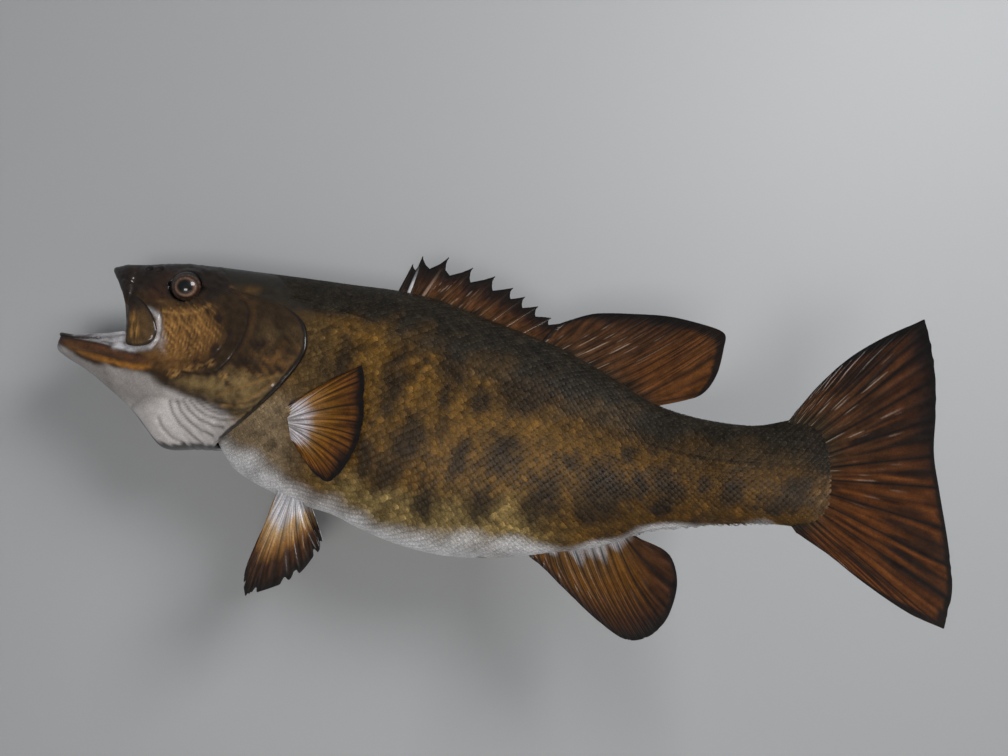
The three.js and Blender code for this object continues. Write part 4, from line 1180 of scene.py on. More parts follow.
@dataclass(frozen=True)
class PlainFinish(Finish):
    """One plain colour, with the gloss of wood, steel or a wall.

    Args:
        name: Name of the material.
        colour: Its linear colour.
        roughness: Roughness of the surface.
        metallic: 1 for bare metal.
        streak: Strength of the grain that runs along the piece.
    """

    colour: Colour
    roughness: float
    metallic: float = 0.0
    streak: float = 0.0

    def dress(self, nodes: Nodes, shader: bpy.types.Node) -> None:
        """Sets the colour and gloss, and the grain if there is one.

        Args:
            nodes: The material's nodes.
            shader: Its main shader.
        """
        shader.inputs["Roughness"].default_value = self.roughness
        shader.inputs["Metallic"].default_value = self.metallic
        shader.inputs["Base Color"].default_value = (*self.colour, 1)
        if self.streak:
            place = nodes.add("ShaderNodeTexCoord").outputs["Object"]
            stretch = nodes.add("ShaderNodeMapping")
            stretch.inputs["Scale"].default_value = (0.06, 1, 1)
            nodes.join(place, stretch.inputs["Vector"])
            grain = nodes.noise(stretch.outputs[0], 420.0, 3.0)
            tone = nodes.add("ShaderNodeValToRGB")
            low, high = tone.color_ramp.elements
            low.position, high.position = 0.3, 0.7
            low.color = (*[c * (1 - self.streak) for c in self.colour], 1)
            high.color = (*[min(1, c * (1 + self.streak)) for c in self.colour], 1)
            nodes.join(grain, tone.inputs[0])
            nodes.join(tone.outputs[0], shader.inputs["Base Color"])


@dataclass(frozen=True)
class FrontFinish(PlainFinish):
    """A plain finish that shows on a sheet's front and is clear from behind."""

    def dress(self, nodes: Nodes, shader: bpy.types.Node) -> None:
        """Sets the plain finish and lets the back through.

        Args:
            nodes: The material's nodes.
            shader: Its main shader.
        """
        super().dress(nodes, shader)
        facing = nodes.add("ShaderNodeNewGeometry").outputs["Backfacing"]
        clear = nodes.add("ShaderNodeBsdfTransparent").outputs[0]
        blend = nodes.add("ShaderNodeMixShader")
        for slot, start in enumerate((facing, shader.outputs[0], clear)):
            nodes.join(start, blend.inputs[slot])
        nodes.join(blend.outputs[0], nodes.tree.nodes["Material Output"].inputs[0])


# ---- Making meshes -------------------------------------------------------------------------


def deselect() -> None:
    """Leaves edit mode and selects nothing."""
    if bpy.context.object and bpy.context.object.mode != "OBJECT":
        bpy.ops.object.mode_set(mode="OBJECT")
    bpy.ops.object.select_all(action="DESELECT")


def pick(obj: Piece) -> None:
    """Selects one object alone and makes it the active one.

    Args:
        obj: The object.
    """
    deselect()
    obj.select_set(True)
    bpy.context.view_layer.objects.active = obj


def set_points(obj: Piece, points: Array) -> None:
    """Moves all of a mesh's corners to the given places."""
    obj.data.vertices.foreach_set("co", np.ascontiguousarray(points, np.float32).ravel())
    obj.data.update()


def get_points(obj: Piece) -> Array:
    """Reads a mesh's corners.

    Args:
        obj: The mesh object.

    Returns:
        The corners, as count x 3.
    """
    points = np.empty(len(obj.data.vertices) * 3, np.float32)
    obj.data.vertices.foreach_get("co", points)
    return points.reshape(-1, 3).astype(float)


def set_paint(obj: Piece, colours: Array) -> None:
    """Gives each corner of a mesh its painted colour.

    Args:
        obj: The mesh object.
        colours: One linear colour for each corner.
    """
    layer = obj.data.color_attributes.new("paint", "FLOAT_COLOR", "POINT")
    rgba = np.concatenate([np.clip(colours, 0, 1), np.ones((len(colours), 1))], 1)
    layer.data.foreach_set("color", rgba.astype(np.float32).ravel())


def grid_piece(name: str, points: Array, paint: Array) -> Piece:
    """A sheet of quads from a grid primitive.

    Args:
        name: Name of the piece.
        points: Places in metres, as rows x columns x 3.
        paint: Linear colours, as rows x columns x 3.

    Returns:
        The new object, which is active and selected.
    """
    rows, columns = points.shape[:2]
    deselect()
    bpy.ops.mesh.primitive_grid_add(x_subdivisions=columns - 1, y_subdivisions=rows - 1)
    obj = bpy.context.object
    obj.name = obj.data.name = name
    set_points(obj, points.reshape(-1, 3))
    set_paint(obj, paint.reshape(-1, 3))
    return obj


def pattern_of(obj: Piece) -> tuple[Array, list[tuple[int, ...]]]:
    """Reads a small shape that is to be copied, and takes it out of the scene.

    Args:
        obj: The shape.

    Returns:
        Its corners and its faces.
    """
    corners = get_points(obj)
    faces = [tuple(face.vertices) for face in obj.data.polygons]
    bpy.data.meshes.remove(obj.data)
    return corners, faces


def copies_piece(name: str, points: Array, faces: Sequence[tuple[int, ...]], count: int) -> Piece:
    """Many copies of one small shape, joined into a piece.

    Args:
        name: Name of the piece.
        points: Corners of all the copies in metres, copy after copy.
        faces: Faces of one copy; the four-cornered ones are shaded smooth.
        count: Number of copies.

    Returns:
        The new object.
    """
    loops = np.concatenate(faces)
    order = np.arange(count)[:, None] * (len(points) // count) + loops
    sizes = np.tile([len(face) for face in faces], count)
    mesh = bpy.data.meshes.new(name)
    mesh.vertices.add(len(points))
    mesh.vertices.foreach_set("co", points.astype(np.float32).ravel())
    mesh.loops.add(order.size)
    mesh.loops.foreach_set("vertex_index", order.astype(np.int32).ravel())
    mesh.polygons.add(len(sizes))
    mesh.polygons.foreach_set("loop_start", (np.cumsum(sizes) - sizes).astype(np.int32))
    mesh.update(calc_edges=True)
    mesh.validate()
    mesh.polygons.foreach_set("use_smooth", sizes == 4)
    obj = bpy.data.objects.new(name, mesh)
    bpy.context.collection.objects.link(obj)
    return obj


def face_out(obj: Piece, gap: float = 0.0) -> None:
    """Turns a piece's faces outwards.

    Args:
        obj: The piece, which is left active and selected.
        gap: Distance under which doubled corners are merged first, or 0 to keep them.
    """
    pick(obj)
    bpy.ops.object.mode_set(mode="EDIT")
    bpy.ops.mesh.select_all(action="SELECT")
    if gap:
        bpy.ops.mesh.remove_doubles(threshold=gap)
    bpy.ops.mesh.normals_make_consistent(inside=False)
    bpy.ops.object.mode_set(mode="OBJECT")


def close_piece(obj: Piece, smooth_angle: float, gap: float = 2e-6) -> None:
    """Merges a piece's doubled corners, turns its faces outwards and smooths them.

    Args:
        obj: The piece.
        smooth_angle: Angle in degrees over which an edge stays sharp.
        gap: Distance in metres under which corners are merged.
    """
    face_out(obj, gap)
    bpy.ops.object.shade_smooth_by_angle(angle=math.radians(smooth_angle))
    deselect()


def hand_over(obj: Piece, finish: Finish, slot: str, *nodes: str) -> None:
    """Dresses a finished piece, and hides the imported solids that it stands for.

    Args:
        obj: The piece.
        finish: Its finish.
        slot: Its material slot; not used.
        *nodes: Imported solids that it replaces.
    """
    obj.data.materials.clear()
    obj.data.materials.append(finish.material())
    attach(obj, BODY)
    if nodes:
        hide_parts(*nodes)
    LOG.info("%s: %d faces", obj.name, len(obj.data.polygons))


def normals_of(grid: Array) -> Array:
    """Normals of a grid of points that closes on itself across its columns.

    Args:
        grid: The points, as rows x columns x 3.

    Returns:
        One unit normal for each point.
    """
    down = np.gradient(grid, axis=0)
    wrapped = np.concatenate([grid[:, -1:], grid, grid[:, :1]], 1)
    across = (wrapped[:, 2:] - wrapped[:, :-2]) / 2
    normal = np.cross(down, across)
    size = np.linalg.norm(normal, axis=-1, keepdims=True)
    return normal / np.maximum(size, 1e-12)


# ---- Skin ----------------------------------------------------------------------------------


@dataclass
class Skin:
    """The one skin, from the gullet over the lips, head and trunk to the root of the tail fin.

    Args:
        anatomy: Sections of the fish.
        markings: Colours of the body.
        detail: Creases and colours of the head.
        columns: Faces round the fish.
        lining_rows: Rows inside the mouth.
        lip_rows: Rows round the lip.
        head_rows: Rows from the lip to the gill flap's edge.
        tuck_rows: Rows under the flap.
        trunk_rows: Rows from there to the root of the tail fin.
        end_rows: Rows that close the end.
        smoothings: Times that the head's rows are evened out.
        lip_roll: How far the rounded lip stands ahead of a straight line.
        lip_blend: Length of head over which the upper lip's drop fades out.
        nape_blend: Length of trunk that starts as the head's own surface over the nape.
        end_level: Height of the end's middle.
        flap_thickness: Thickness of the gill flap's edge.
        tuck_depth: Length of skin that runs back under the flap.
        head_crowding: How much closer the head's rows lie near the lips; 1 is even.
    """

    anatomy: Anatomy
    markings: Markings
    detail: HeadDetail
    columns: int = 250
    lining_rows: int = 26
    lip_rows: int = 5
    head_rows: int = 226
    tuck_rows: int = 8
    trunk_rows: int = 110
    end_rows: int = 8
    smoothings: int = 10
    lip_roll: float = 1.1
    lip_blend: float = 7.5
    nape_blend: float = 35.0
    end_level: float = -36.0
    flap_thickness: float = 3.2
    tuck_depth: float = 10.0
    head_crowding: float = 1.18

    def __post_init__(self) -> None:
        """Works out each column's turn and side: down the left from the back, and up the right."""
        half = self.columns // 2
        self.turn = np.concatenate([np.arange(half + 1), np.arange(half - 1, -1, -1)]) / half
        self.side = np.concatenate([np.ones(half + 1), -np.ones(half)])
        self.upper = self.turn < 0.5
        self.lip = self.anatomy.lip_station(self.turn)
        self.end = self.anatomy.head_end(self.turn)
        self.free = smooth((self.turn - 0.2) / 0.12)
        self.start = self.end - self.tuck_depth * self.free
        self.first_head = self.lining_rows + self.lip_rows + 2
        self.last_head = self.first_head + self.head_rows
        self.rings: list[tuple[Array, Array, Array]] = []
        self.colours: list[Array] = []

    def add(self, station: Array, left: Array, height: Array, colour: Array) -> None:
        """Adds one ring of points, with its colours."""
        self.rings.append((station, left, height))
        self.colours.append(colour)

    def line_mouth(self) -> None:
        """Lines the mouth, from a hidden point behind the gullet to the lip."""
        shape = self.turn.shape
        deep = np.full(shape, self.anatomy.gullet_station + 8)
        level = np.full(shape, self.anatomy.gullet_height)
        colour = self.detail.lining(deep, level, self.side, np.ones(shape), self.upper)
        self.add(deep, np.zeros(shape), level, colour)
        for row in range(self.lining_rows + 1):
            inward = (1 - row / self.lining_rows) ** 1.35 * np.ones(shape)
            s, left, h = self.anatomy.mouth(self.turn, self.side, inward)
            self.add(s, left, h, self.detail.lining(s, h, self.side, inward, self.upper))

    def round_lips(self) -> None:
        """Rounds the lips, from the lining to the head's own surface."""
        s0, left0, h0 = self.rings[-1]
        left1, h1 = self.anatomy.head(self.lip, self.turn, self.side, -self.anatomy.inset)
        for row in range(1, self.lip_rows + 1):
            t = row / (self.lip_rows + 1)
            s = mix(s0, self.lip, t) - self.lip_roll * np.sin(np.pi * t)
            h = mix(h0, h1, t)
            lining = self.detail.lining(s, h, self.side, 0 * self.turn, self.upper)
            face = self.detail.colours(s, h, self.side, self.end - s)
            self.add(s, mix(left0, left1, t), h, mix(lining, face, t))

    def cover_head(self) -> None:
        """Covers the head, from the lips to the gill flap's edge."""
        for row in range(self.head_rows + 1):
            s = mix(self.lip, self.end, (row / self.head_rows) ** self.head_crowding)
            left, h = self.anatomy.head(s, self.turn, self.side, -self.anatomy.inset)
            self.add(s, left, h, self.detail.colours(s, h, self.side, self.end - s))

    def trunk_at(self, s: Array) -> tuple[Array, Array]:
        """Surface of the trunk, which starts as the head's own over the nape.

        Args:
            s: Station of each point of a ring.

        Returns:
            The offsets to the left, and the heights.
        """
        joined = smooth((0.36 - self.turn) / 0.16) * smooth(1 - (s - self.start) / self.nape_blend)
        trunk = self.anatomy.body(s, self.turn, self.side, -self.anatomy.inset)
        head = self.anatomy.head(s, self.turn, self.side, -self.anatomy.inset)
        return mix(trunk[0], head[0], joined), mix(trunk[1], head[1], joined)

    def tuck_flap(self) -> None:
        """Tucks the skin in under the gill flap's edge, and down to the trunk, painted black as a painted
        shadow under the flap.
        """
        trunk_left, trunk_h = self.trunk_at(self.start)
        thick = self.flap_thickness * self.free
        # The tucked rows are painted near-black: a painted shadow in the gap under the gill flap.
        black = Coat(len(self.turn), EDGE_BLACK).colour
        for row in range(1, self.tuck_rows + 1):
            t = row / self.tuck_rows
            inside = np.minimum(1, t * 3)
            s = mix(self.end, self.start, smooth((t - 0.25) / 0.75))
            s = s + 0.5 * thick * np.sin(np.pi * inside) * 0.6
            left, h = self.anatomy.head(np.minimum(s, self.end), self.turn, self.side, -self.anatomy.inset)
            shrink = 1 - thick * inside / np.maximum(self.anatomy.head_width(self.end), 1)
            lift = thick * inside * np.sin(np.pi * np.clip(self.turn - 0.5, 0, 1)) ** 2
            reach = smooth((t - 0.45) / 0.55)
            self.add(s, mix(left * shrink, trunk_left, reach), mix(h + lift, trunk_h, reach), black)

    def cover_trunk(self) -> None:
        """Covers the trunk as far as the tail fin's root, darkened just under the gill flap as a painted
        shadow, and closes the end.
        """
        under = smooth((self.turn - 0.24) / 0.1)[:, None]
        for row in range(1, self.trunk_rows + 1):
            s = mix(self.start, self.anatomy.tail_end, row / self.trunk_rows)
            left, h = self.trunk_at(s)
            push = self.anatomy.end_push(s, self.turn)
            # The trunk's first rows under the flap, below the nape, are mixed towards black: a painted
            # shadow cast by the gill flap.
            shade = smooth((self.tuck_depth * 0.9 - (s - self.start)) / 4)[:, None] * under
            colour = self.markings.body(s, h, self.side)
            self.add(s + push, left, h, mix(colour, np.array(EDGE_BLACK), 0.8 * shade))
        s, left, h = self.rings[-1]
        for row in range(1, self.end_rows + 1):
            t = math.sin(math.pi / 2 * row / self.end_rows)
            self.add(s + 1.2 * t, left * (1 - t), mix(h, self.end_level, 0.15 * t), self.colours[-1])

    def blend_nape(self) -> None:
        """Carries the trunk's colours over the root of the gill flap at the nape."""
        nape = smooth((0.3 - self.turn) / 0.08)[:, None]
        for row in range(self.last_head - 6, self.last_head + 1 + self.tuck_rows):
            s, _, h = self.rings[row]
            self.colours[row] = mix(self.colours[row], self.markings.body(s, h, self.side), nape)

    def build(self) -> Piece:
        """Makes the skin as one grid and closes its seam and ends.

        Returns:
            The finished piece.
        """
        self.line_mouth()
        self.round_lips()
        self.cover_head()
        self.tuck_flap()
        self.cover_trunk()
        self.blend_nape()
        stations, lefts, heights = (np.array([ring[k] for ring in self.rings]) for k in range(3))
        outside = slice(self.lining_rows + 2, self.last_head + 1)
        behind = stations[outside] - self.lip
        heights[outside] -= self.anatomy.lip_drop(self.turn) * smooth(1 - behind / self.lip_blend)
        settled, levels = self.anatomy.settle(stations, heights)
        points = self.anatomy.midline.place(settled, lefts, levels)
        for _ in range(self.smoothings):
            part = points[self.first_head:self.last_head]
            evened = (part[:-2] + 2 * part[1:-1] + part[2:]) / 4
            points[self.first_head + 1:self.last_head - 1] = evened
        self.raise_detail(points, stations, heights)
        paint = np.array(self.colours)
        points, paint = (np.concatenate([grid, grid[:, :1]], 1) for grid in (points, paint))
        obj = grid_piece("fish_skin", points, paint)
        close_piece(obj, 75)
        hand_over(
            obj, PaintedFinish("varnished_skin"), "scaled_skin",
            "head", "lower_jaw", "throat", "gill_cover_left", "gill_cover_right", "trunk", "tail_root",
        )
        return obj

    def raise_detail(self, points: Array, stations: Array, heights: Array) -> None:
        """Pushes the head's ridges out and its creases in, and sinks the eye sockets.

        Args:
            points: All the skin's points, as rows x columns x 3, which are moved.
            stations: Station of each point.
            heights: Height of each point.
        """
        rows = slice(self.first_head - 3, self.last_head + 1)
        relief = self.detail.relief(stations[rows], heights[rows])
        fade = np.ones((len(relief), 1))
        fade[:8, 0] = np.linspace(0.2, 1, 8)
        fade[-4:, 0] = np.linspace(1, 0.4, 4)
        normal = normals_of(points[rows])
        outward = normal[len(normal) // 2, self.columns // 4]
        sign = np.sign(np.dot(outward, (0, -1, 0)))
        points[rows] += sign * normal * (relief * fade / METRE)[..., None]


# ---- Scales --------------------------------------------------------------------------------


@dataclass
class Scales:
    """Thin overlapping scales in rows along the lateral line, joined into four pieces.

    Args:
        anatomy: Sections of the fish.
        markings: Colours of the body.
        lift: Height of a scale's rear edge over the skin.
        first, last: Stations between which the body is measured.
        turns: Points measured round each section.
        split: Station where the front pieces end and the rear ones start.
        across, along: Faces of one scale.
        pitch: Length of each scale that shows, along the fish.
        row_share: Height of a row of scales, as a share of that length.
        flap_cover: Length of the scaled skin that lies under the gill flap.
        keel: Stations between which the lowest scales stand up in a pale row.
        probe: Distance between points that give the skin's slope.
        patch_size: Half width of a scale's patch on the map.
    """

    anatomy: Anatomy
    markings: Markings
    lift: float = 0.16
    first: int = 56
    last: int = 376
    turns: int = 500
    split: float = 176.0
    across: int = 6
    along: int = 3
    pitch: Track = Track(
        (56, 1.8), (80, 2.1), (105, 2.5), (122, 3.0), (145, 3.5), (200, 3.7), (240, 3.6),
        (280, 3.3), (310, 3.1), (345, 2.8), (365, 2.2), (376, 1.8),
    )
    row_share: float = 0.52
    flap_cover: float = 6.0
    keel: tuple[float, float] = (280.0, 354.0)
    probe: float = 0.4
    patch_size: float = 0.0015

    def __post_init__(self) -> None:
        """Measures the body, so that places can be found by arc from the back."""
        self.stations = np.arange(self.first, self.last + 1.0)
        turn = np.linspace(0, 1, self.turns)
        s = self.stations[:, None]
        left, height = self.anatomy.body(s, turn[None], 1, -self.anatomy.inset)
        self.tables = left, height, np.broadcast_to(turn, left.shape)
        step = np.hypot(np.diff(left, axis=1), np.diff(height, axis=1))
        self.arc = np.concatenate([np.zeros((len(s), 1)), np.cumsum(step, 1)], 1)
        line = self.anatomy.lateral_line(self.stations)
        self.line_arc = np.array([np.interp(-l, -h, a) for l, h, a in zip(line, height, self.arc)])

    def girth(self, s: Array | float) -> Array:
        """Length of the arc from the back to the belly at a station."""
        return np.interp(s, self.stations, self.arc[:, -1])

    def surface(self, s: Array, arc: Array) -> tuple[Array, ...]:
        """Finds points of the skin by their arc.

        Args:
            s: Station of each point.
            arc: Length of arc from the back to each point, negative past the back.

        Returns:
            Offsets to the left, heights and turns.
        """
        at = np.clip(s - self.first, 0, len(self.stations) - 1.001)
        row = at.astype(int)
        share = at - row
        total = mix(self.arc[row, -1], self.arc[row + 1, -1], share)
        far = np.abs(arc)
        far = np.where(far > total, 2 * total - far, far)
        sign = np.where((arc < 0) | (arc > total), -1.0, 1.0)
        found = [0.0, 0.0, 0.0]
        last = self.turns - 2
        for ring, weight in ((row, 1 - share), (row + 1, share)):
            index = np.clip((far / self.arc[ring, -1] * (last + 1)).astype(int), 0, last)
            for _ in range(24):
                low, high = self.arc[ring, index], self.arc[ring, index + 1]
                index = np.clip(index - (far < low) + (far > high), 0, last)
            t = np.clip((far - low) / np.maximum(high - low, 1e-9), 0, 1)
            for k, table in enumerate(self.tables):
                found[k] = found[k] + weight * mix(table[ring, index], table[ring, index + 1], t)
        return sign * found[0], found[1], found[2]

    def on_keel(self, s: Array, arc: Array, low: float, band: float, more: float = 0.0) -> Array:
        """Tells how far points belong to the row of raised scales behind the anal fin.

        Args:
            s: Station of each point.
            arc: Arc of each point.
            low: Share of the girth where the row starts.
            band: Share of the girth over which it comes in.
            more: How far it reaches past its stations.

        Returns:
            A share for each point.
        """
        start, stop = self.keel[0] - more, self.keel[1] + more
        belly = smooth((arc / self.girth(s) - low) / band)
        return belly * smooth((s - start) / 6) * smooth((stop - s) / 6)

    def roots(self) -> Array:
        """Places the scales of one side in staggered columns.

        Returns:
            Four rows: station, arc, length and height of every scale.
        """
        found = []
        s = float(self.first) + 2
        column = 0
        while s < self.last - 4:
            step = float(self.pitch(s))
            row = step * self.row_share
            line = float(np.interp(s, self.stations, self.line_arc))
            start = -math.floor(line / row)
            stop = math.floor((float(self.girth(s)) - line) / row)
            for k in range(start, stop + 1):
                if (k + column) % 2 == 0:
                    found.append((s, line + k * row, step, row))
            s += step / 2
            column += 1
        found = np.array(found).T
        height = self.surface(found[0], np.clip(found[1], 0, None))[1]
        return found[:, found[0] > self.anatomy.flap_station(height) - self.flap_cover]

    def template(self) -> tuple[Array, list[tuple[int, ...]]]:
        """Shapes one shield-like scale.

        Returns:
            Its corners as (along, across, up), and its faces.
        """
        deselect()
        bpy.ops.mesh.primitive_grid_add(x_subdivisions=self.across, y_subdivisions=self.along, size=2)
        bpy.ops.object.mode_set(mode="EDIT")
        bpy.ops.mesh.select_all(action="SELECT")
        bpy.ops.mesh.region_to_loop()
        bpy.ops.mesh.edge_face_add()
        bpy.ops.object.mode_set(mode="OBJECT")
        flat, faces = pattern_of(bpy.context.object)
        t = (flat[:, 1] + 1) / 2
        t = np.interp(t, (0, 1 / 3, 2 / 3, 1), (0, 0.5, 0.86, 1))
        v = flat[:, 0]
        round_rear = 1 - 0.34 * np.abs(v) ** 2.6 * t
        along = -0.95 + 1.98 * t * round_rear
        across = 1.1 * v * (0.82 + 0.18 * np.sin(np.pi * np.minimum(1, t * 1.1)))
        up = np.interp(t, (0, 0.5, 0.86, 1), (-0.5, 0.42, 1.0, 0.1)) - 0.06 * np.abs(v) ** 3
        return np.stack([along, across, up], 1), faces

    def build(self) -> None:
        """Copies the scale over both sides and joins the copies into four pieces."""
        self.shape, self.faces = self.template()
        roots = self.roots()
        random = np.random.default_rng(5)
        front = roots[0] < self.split
        for side in Side:
            for name, part in (("front", front), ("rear", ~front)):
                self.patch(f"scales_{side.name.lower()}_{name}", side, roots[:, part], random)

    def patch(self, name: str, side: Side, roots: Array, random: np.random.Generator) -> Piece:
        """Makes one piece of the coat.

        Args:
            name: Name of the piece.
            side: Side of the fish that it covers.
            roots: Station, arc, length and height of each scale.
            random: Source of the small differences between scales.

        Returns:
            The finished piece.
        """
        s0, arc0, step, row = roots[:, :, None]
        count = len(s0)
        size = random.uniform(0.94, 1.06, (count, 1))
        tilt = random.uniform(0.6, 1.4, (count, 1))
        lean = random.normal(0, 0.05, (count, 1))
        along = self.shape[:, 0] * step * 0.82 * size
        across = self.shape[:, 1] * row * size
        s = (s0 + along - lean * across).ravel()
        arc = (arc0 + across + lean * along + random.normal(0, 0.1, (count, 1)) * row).ravel()
        points = self.points(s, arc, side)
        fore = self.points(s + self.probe, arc, side)
        low = self.points(s, arc + self.probe, side)
        out = np.cross(fore - points, low - points)
        out /= np.maximum(np.linalg.norm(out, axis=1, keepdims=True), 1e-12)
        facing = np.sign(np.median(-side.value * out[:, 1]))
        small = np.clip((step - 1.7) / 1.4, 0.4, 1.0)
        saw = self.on_keel(s0, arc0, 0.96, 0.03)
        ridge = 0.4 + 0.6 * smooth(np.abs(arc0) / 8)
        up = (self.shape[:, 2] * self.lift * tilt * (small * ridge + 4.5 * saw)).ravel()
        points += facing * out * (up / METRE)[:, None]
        obj = copies_piece(name, points, self.faces, count)
        self.unwrap(obj, s0, arc0, side)
        set_paint(obj, self.colours(s, arc, s0.ravel(), arc0.ravel(), side, random))
        face_out(obj)
        hand_over(obj, PaintedFinish("varnished_scales", 0.25, 0.3, 0.1, 0.08, 0.35), "scaled_skin")
        return obj

    def points(self, s: Array, arc: Array, side: Side) -> Array:
        """Places points on the body's surface, the tail's round end included.

        Args:
            s: Station of each point.
            arc: Length of arc from the back to each point.
            side: Side of the fish.

        Returns:
            The points in metres.
        """
        left, height, turn = self.surface(s, arc)
        push = self.anatomy.end_push(s, turn)
        return self.anatomy.midline.place(s + push, side.value * left, height)

    def colours(
        self, s: Array, arc: Array, s0: Array, arc0: Array, side: Side, random: np.random.Generator,
    ) -> Array:
        """Paints the scales with the body's marks, each with its own tone, a painted highlight on its rear
        edge and, on pale paint, a painted shadow at its root.

        Args:
            s: Station of each corner.
            arc: Arc of each corner.
            s0: Station of each scale.
            arc0: Arc of each scale.
            side: Side of the fish.
            random: Source of the scales' tones.

        Returns:
            One linear colour for each corner.
        """
        count, corners = len(s0), len(self.shape)
        whole, exact = (
            self.markings.body(at, self.surface(at, low)[1], np.full(len(at), float(side.value)))
            for at, low in ((s0, arc0), (s, arc))
        )
        paint = mix(np.repeat(whole, corners, 0), exact, 0.6)
        spread = 0.18 * np.clip((self.pitch(s0) - 1.4) / 1.6, 0.3, 1)
        tone = np.repeat(random.lognormal(0.0, 1.0, count) ** spread, corners)
        rear_glint = np.repeat(random.uniform(0, 1, count) ** 3, corners)
        rear = np.tile(smooth((self.shape[:, 0] - 0.45) / 0.55), count)
        # Rear edges lighter, strongly on a few scales: a painted highlight, the glint of each scale's
        # raised edge.
        tone *= 0.9 + (0.1 + 0.8 * rear_glint) * rear
        # On pale paint each scale is darker towards its root: a painted shadow of the scale in front.
        tone = mix(tone, 1 - 0.36 * (1 - rear), smooth((paint[:, 2] - 0.07) / 0.2))
        line = np.interp(s, self.stations, self.line_arc)
        tone *= 1 - 0.4 * bump(arc - line, -0.7, 0.6)
        tone += 0.9 * rear * bump(arc - line, 0.5, 0.5)
        saw = self.on_keel(s, arc, 0.965, 0.02, 2.0)
        paint = mix(paint, np.array(BARE_WHITE), (0.9 * saw * rear)[:, None])
        return np.clip(paint * tone[:, None], 0.003, 0.9)

    def unwrap(self, obj: Piece, s0: Array, arc0: Array, side: Side) -> None:
        """Maps each scale to a small patch at its root's place on the unrolled skin.

        Args:
            obj: The piece.
            s0: Station of each scale, as a column.
            arc0: Arc of each scale, as a column.
            side: Side of the fish.
        """
        u = (s0 - self.first) / (self.last - self.first)
        v = 0.5 + side.value * 0.48 * np.clip(arc0 / self.girth(s0), 0, 1)
        patch = self.shape * self.patch_size
        spots = np.stack([u + patch[:, 0], v + patch[:, 1]], -1).reshape(-1, 2)
        layer = obj.data.uv_layers.new(name="OFBake")
        index = np.empty(len(obj.data.loops), np.int32)
        obj.data.loops.foreach_get("vertex_index", index)
        layer.data.foreach_set("uv", np.clip(spots[index], 0.001, 0.999).astype(np.float32).ravel())


# ---- Fins ----------------------------------------------------------------------------------


def curve_through(corners: Sequence[Sequence[float]], at: Array, sharp: Sequence[int] = ()) -> Array:
    """Smooth curve through corners, read at places counted in corners.

    Args:
        corners: The corners, each with as many numbers as wanted.
        at: Where to read it, from 0 at the first corner.
        sharp: Corners that the curve doesn't round.

    Returns:
        One point for each place.
    """
    points = np.array(corners, float)
    count = len(points)
    before = points[np.maximum(np.arange(count) - 1, 0)]
    after = points[np.minimum(np.arange(count) + 1, count - 1)]
    back = points - before
    ahead = after - points
    lengths = np.linalg.norm(back, axis=1, keepdims=True), np.linalg.norm(ahead, axis=1, keepdims=True)
    mean = (back + ahead) / 2
    limit = 1.2 * np.minimum(*np.maximum(lengths, 1e-9))
    size = np.maximum(np.linalg.norm(mean, axis=1, keepdims=True), 1e-9)
    mean *= np.minimum(1, limit / size)
    leave, arrive = mean.copy(), mean.copy()
    for index in (0, count - 1, *sharp):
        arrive[index], leave[index] = back[index], ahead[index]
    i = np.clip(at.astype(int), 0, count - 2)
    t = (at - i)[:, None]
    result = mix(points[i], points[i + 1], smooth(t))
    return result + t * (1 - t) ** 2 * leave[i] - t * t * (1 - t) * arrive[i + 1]


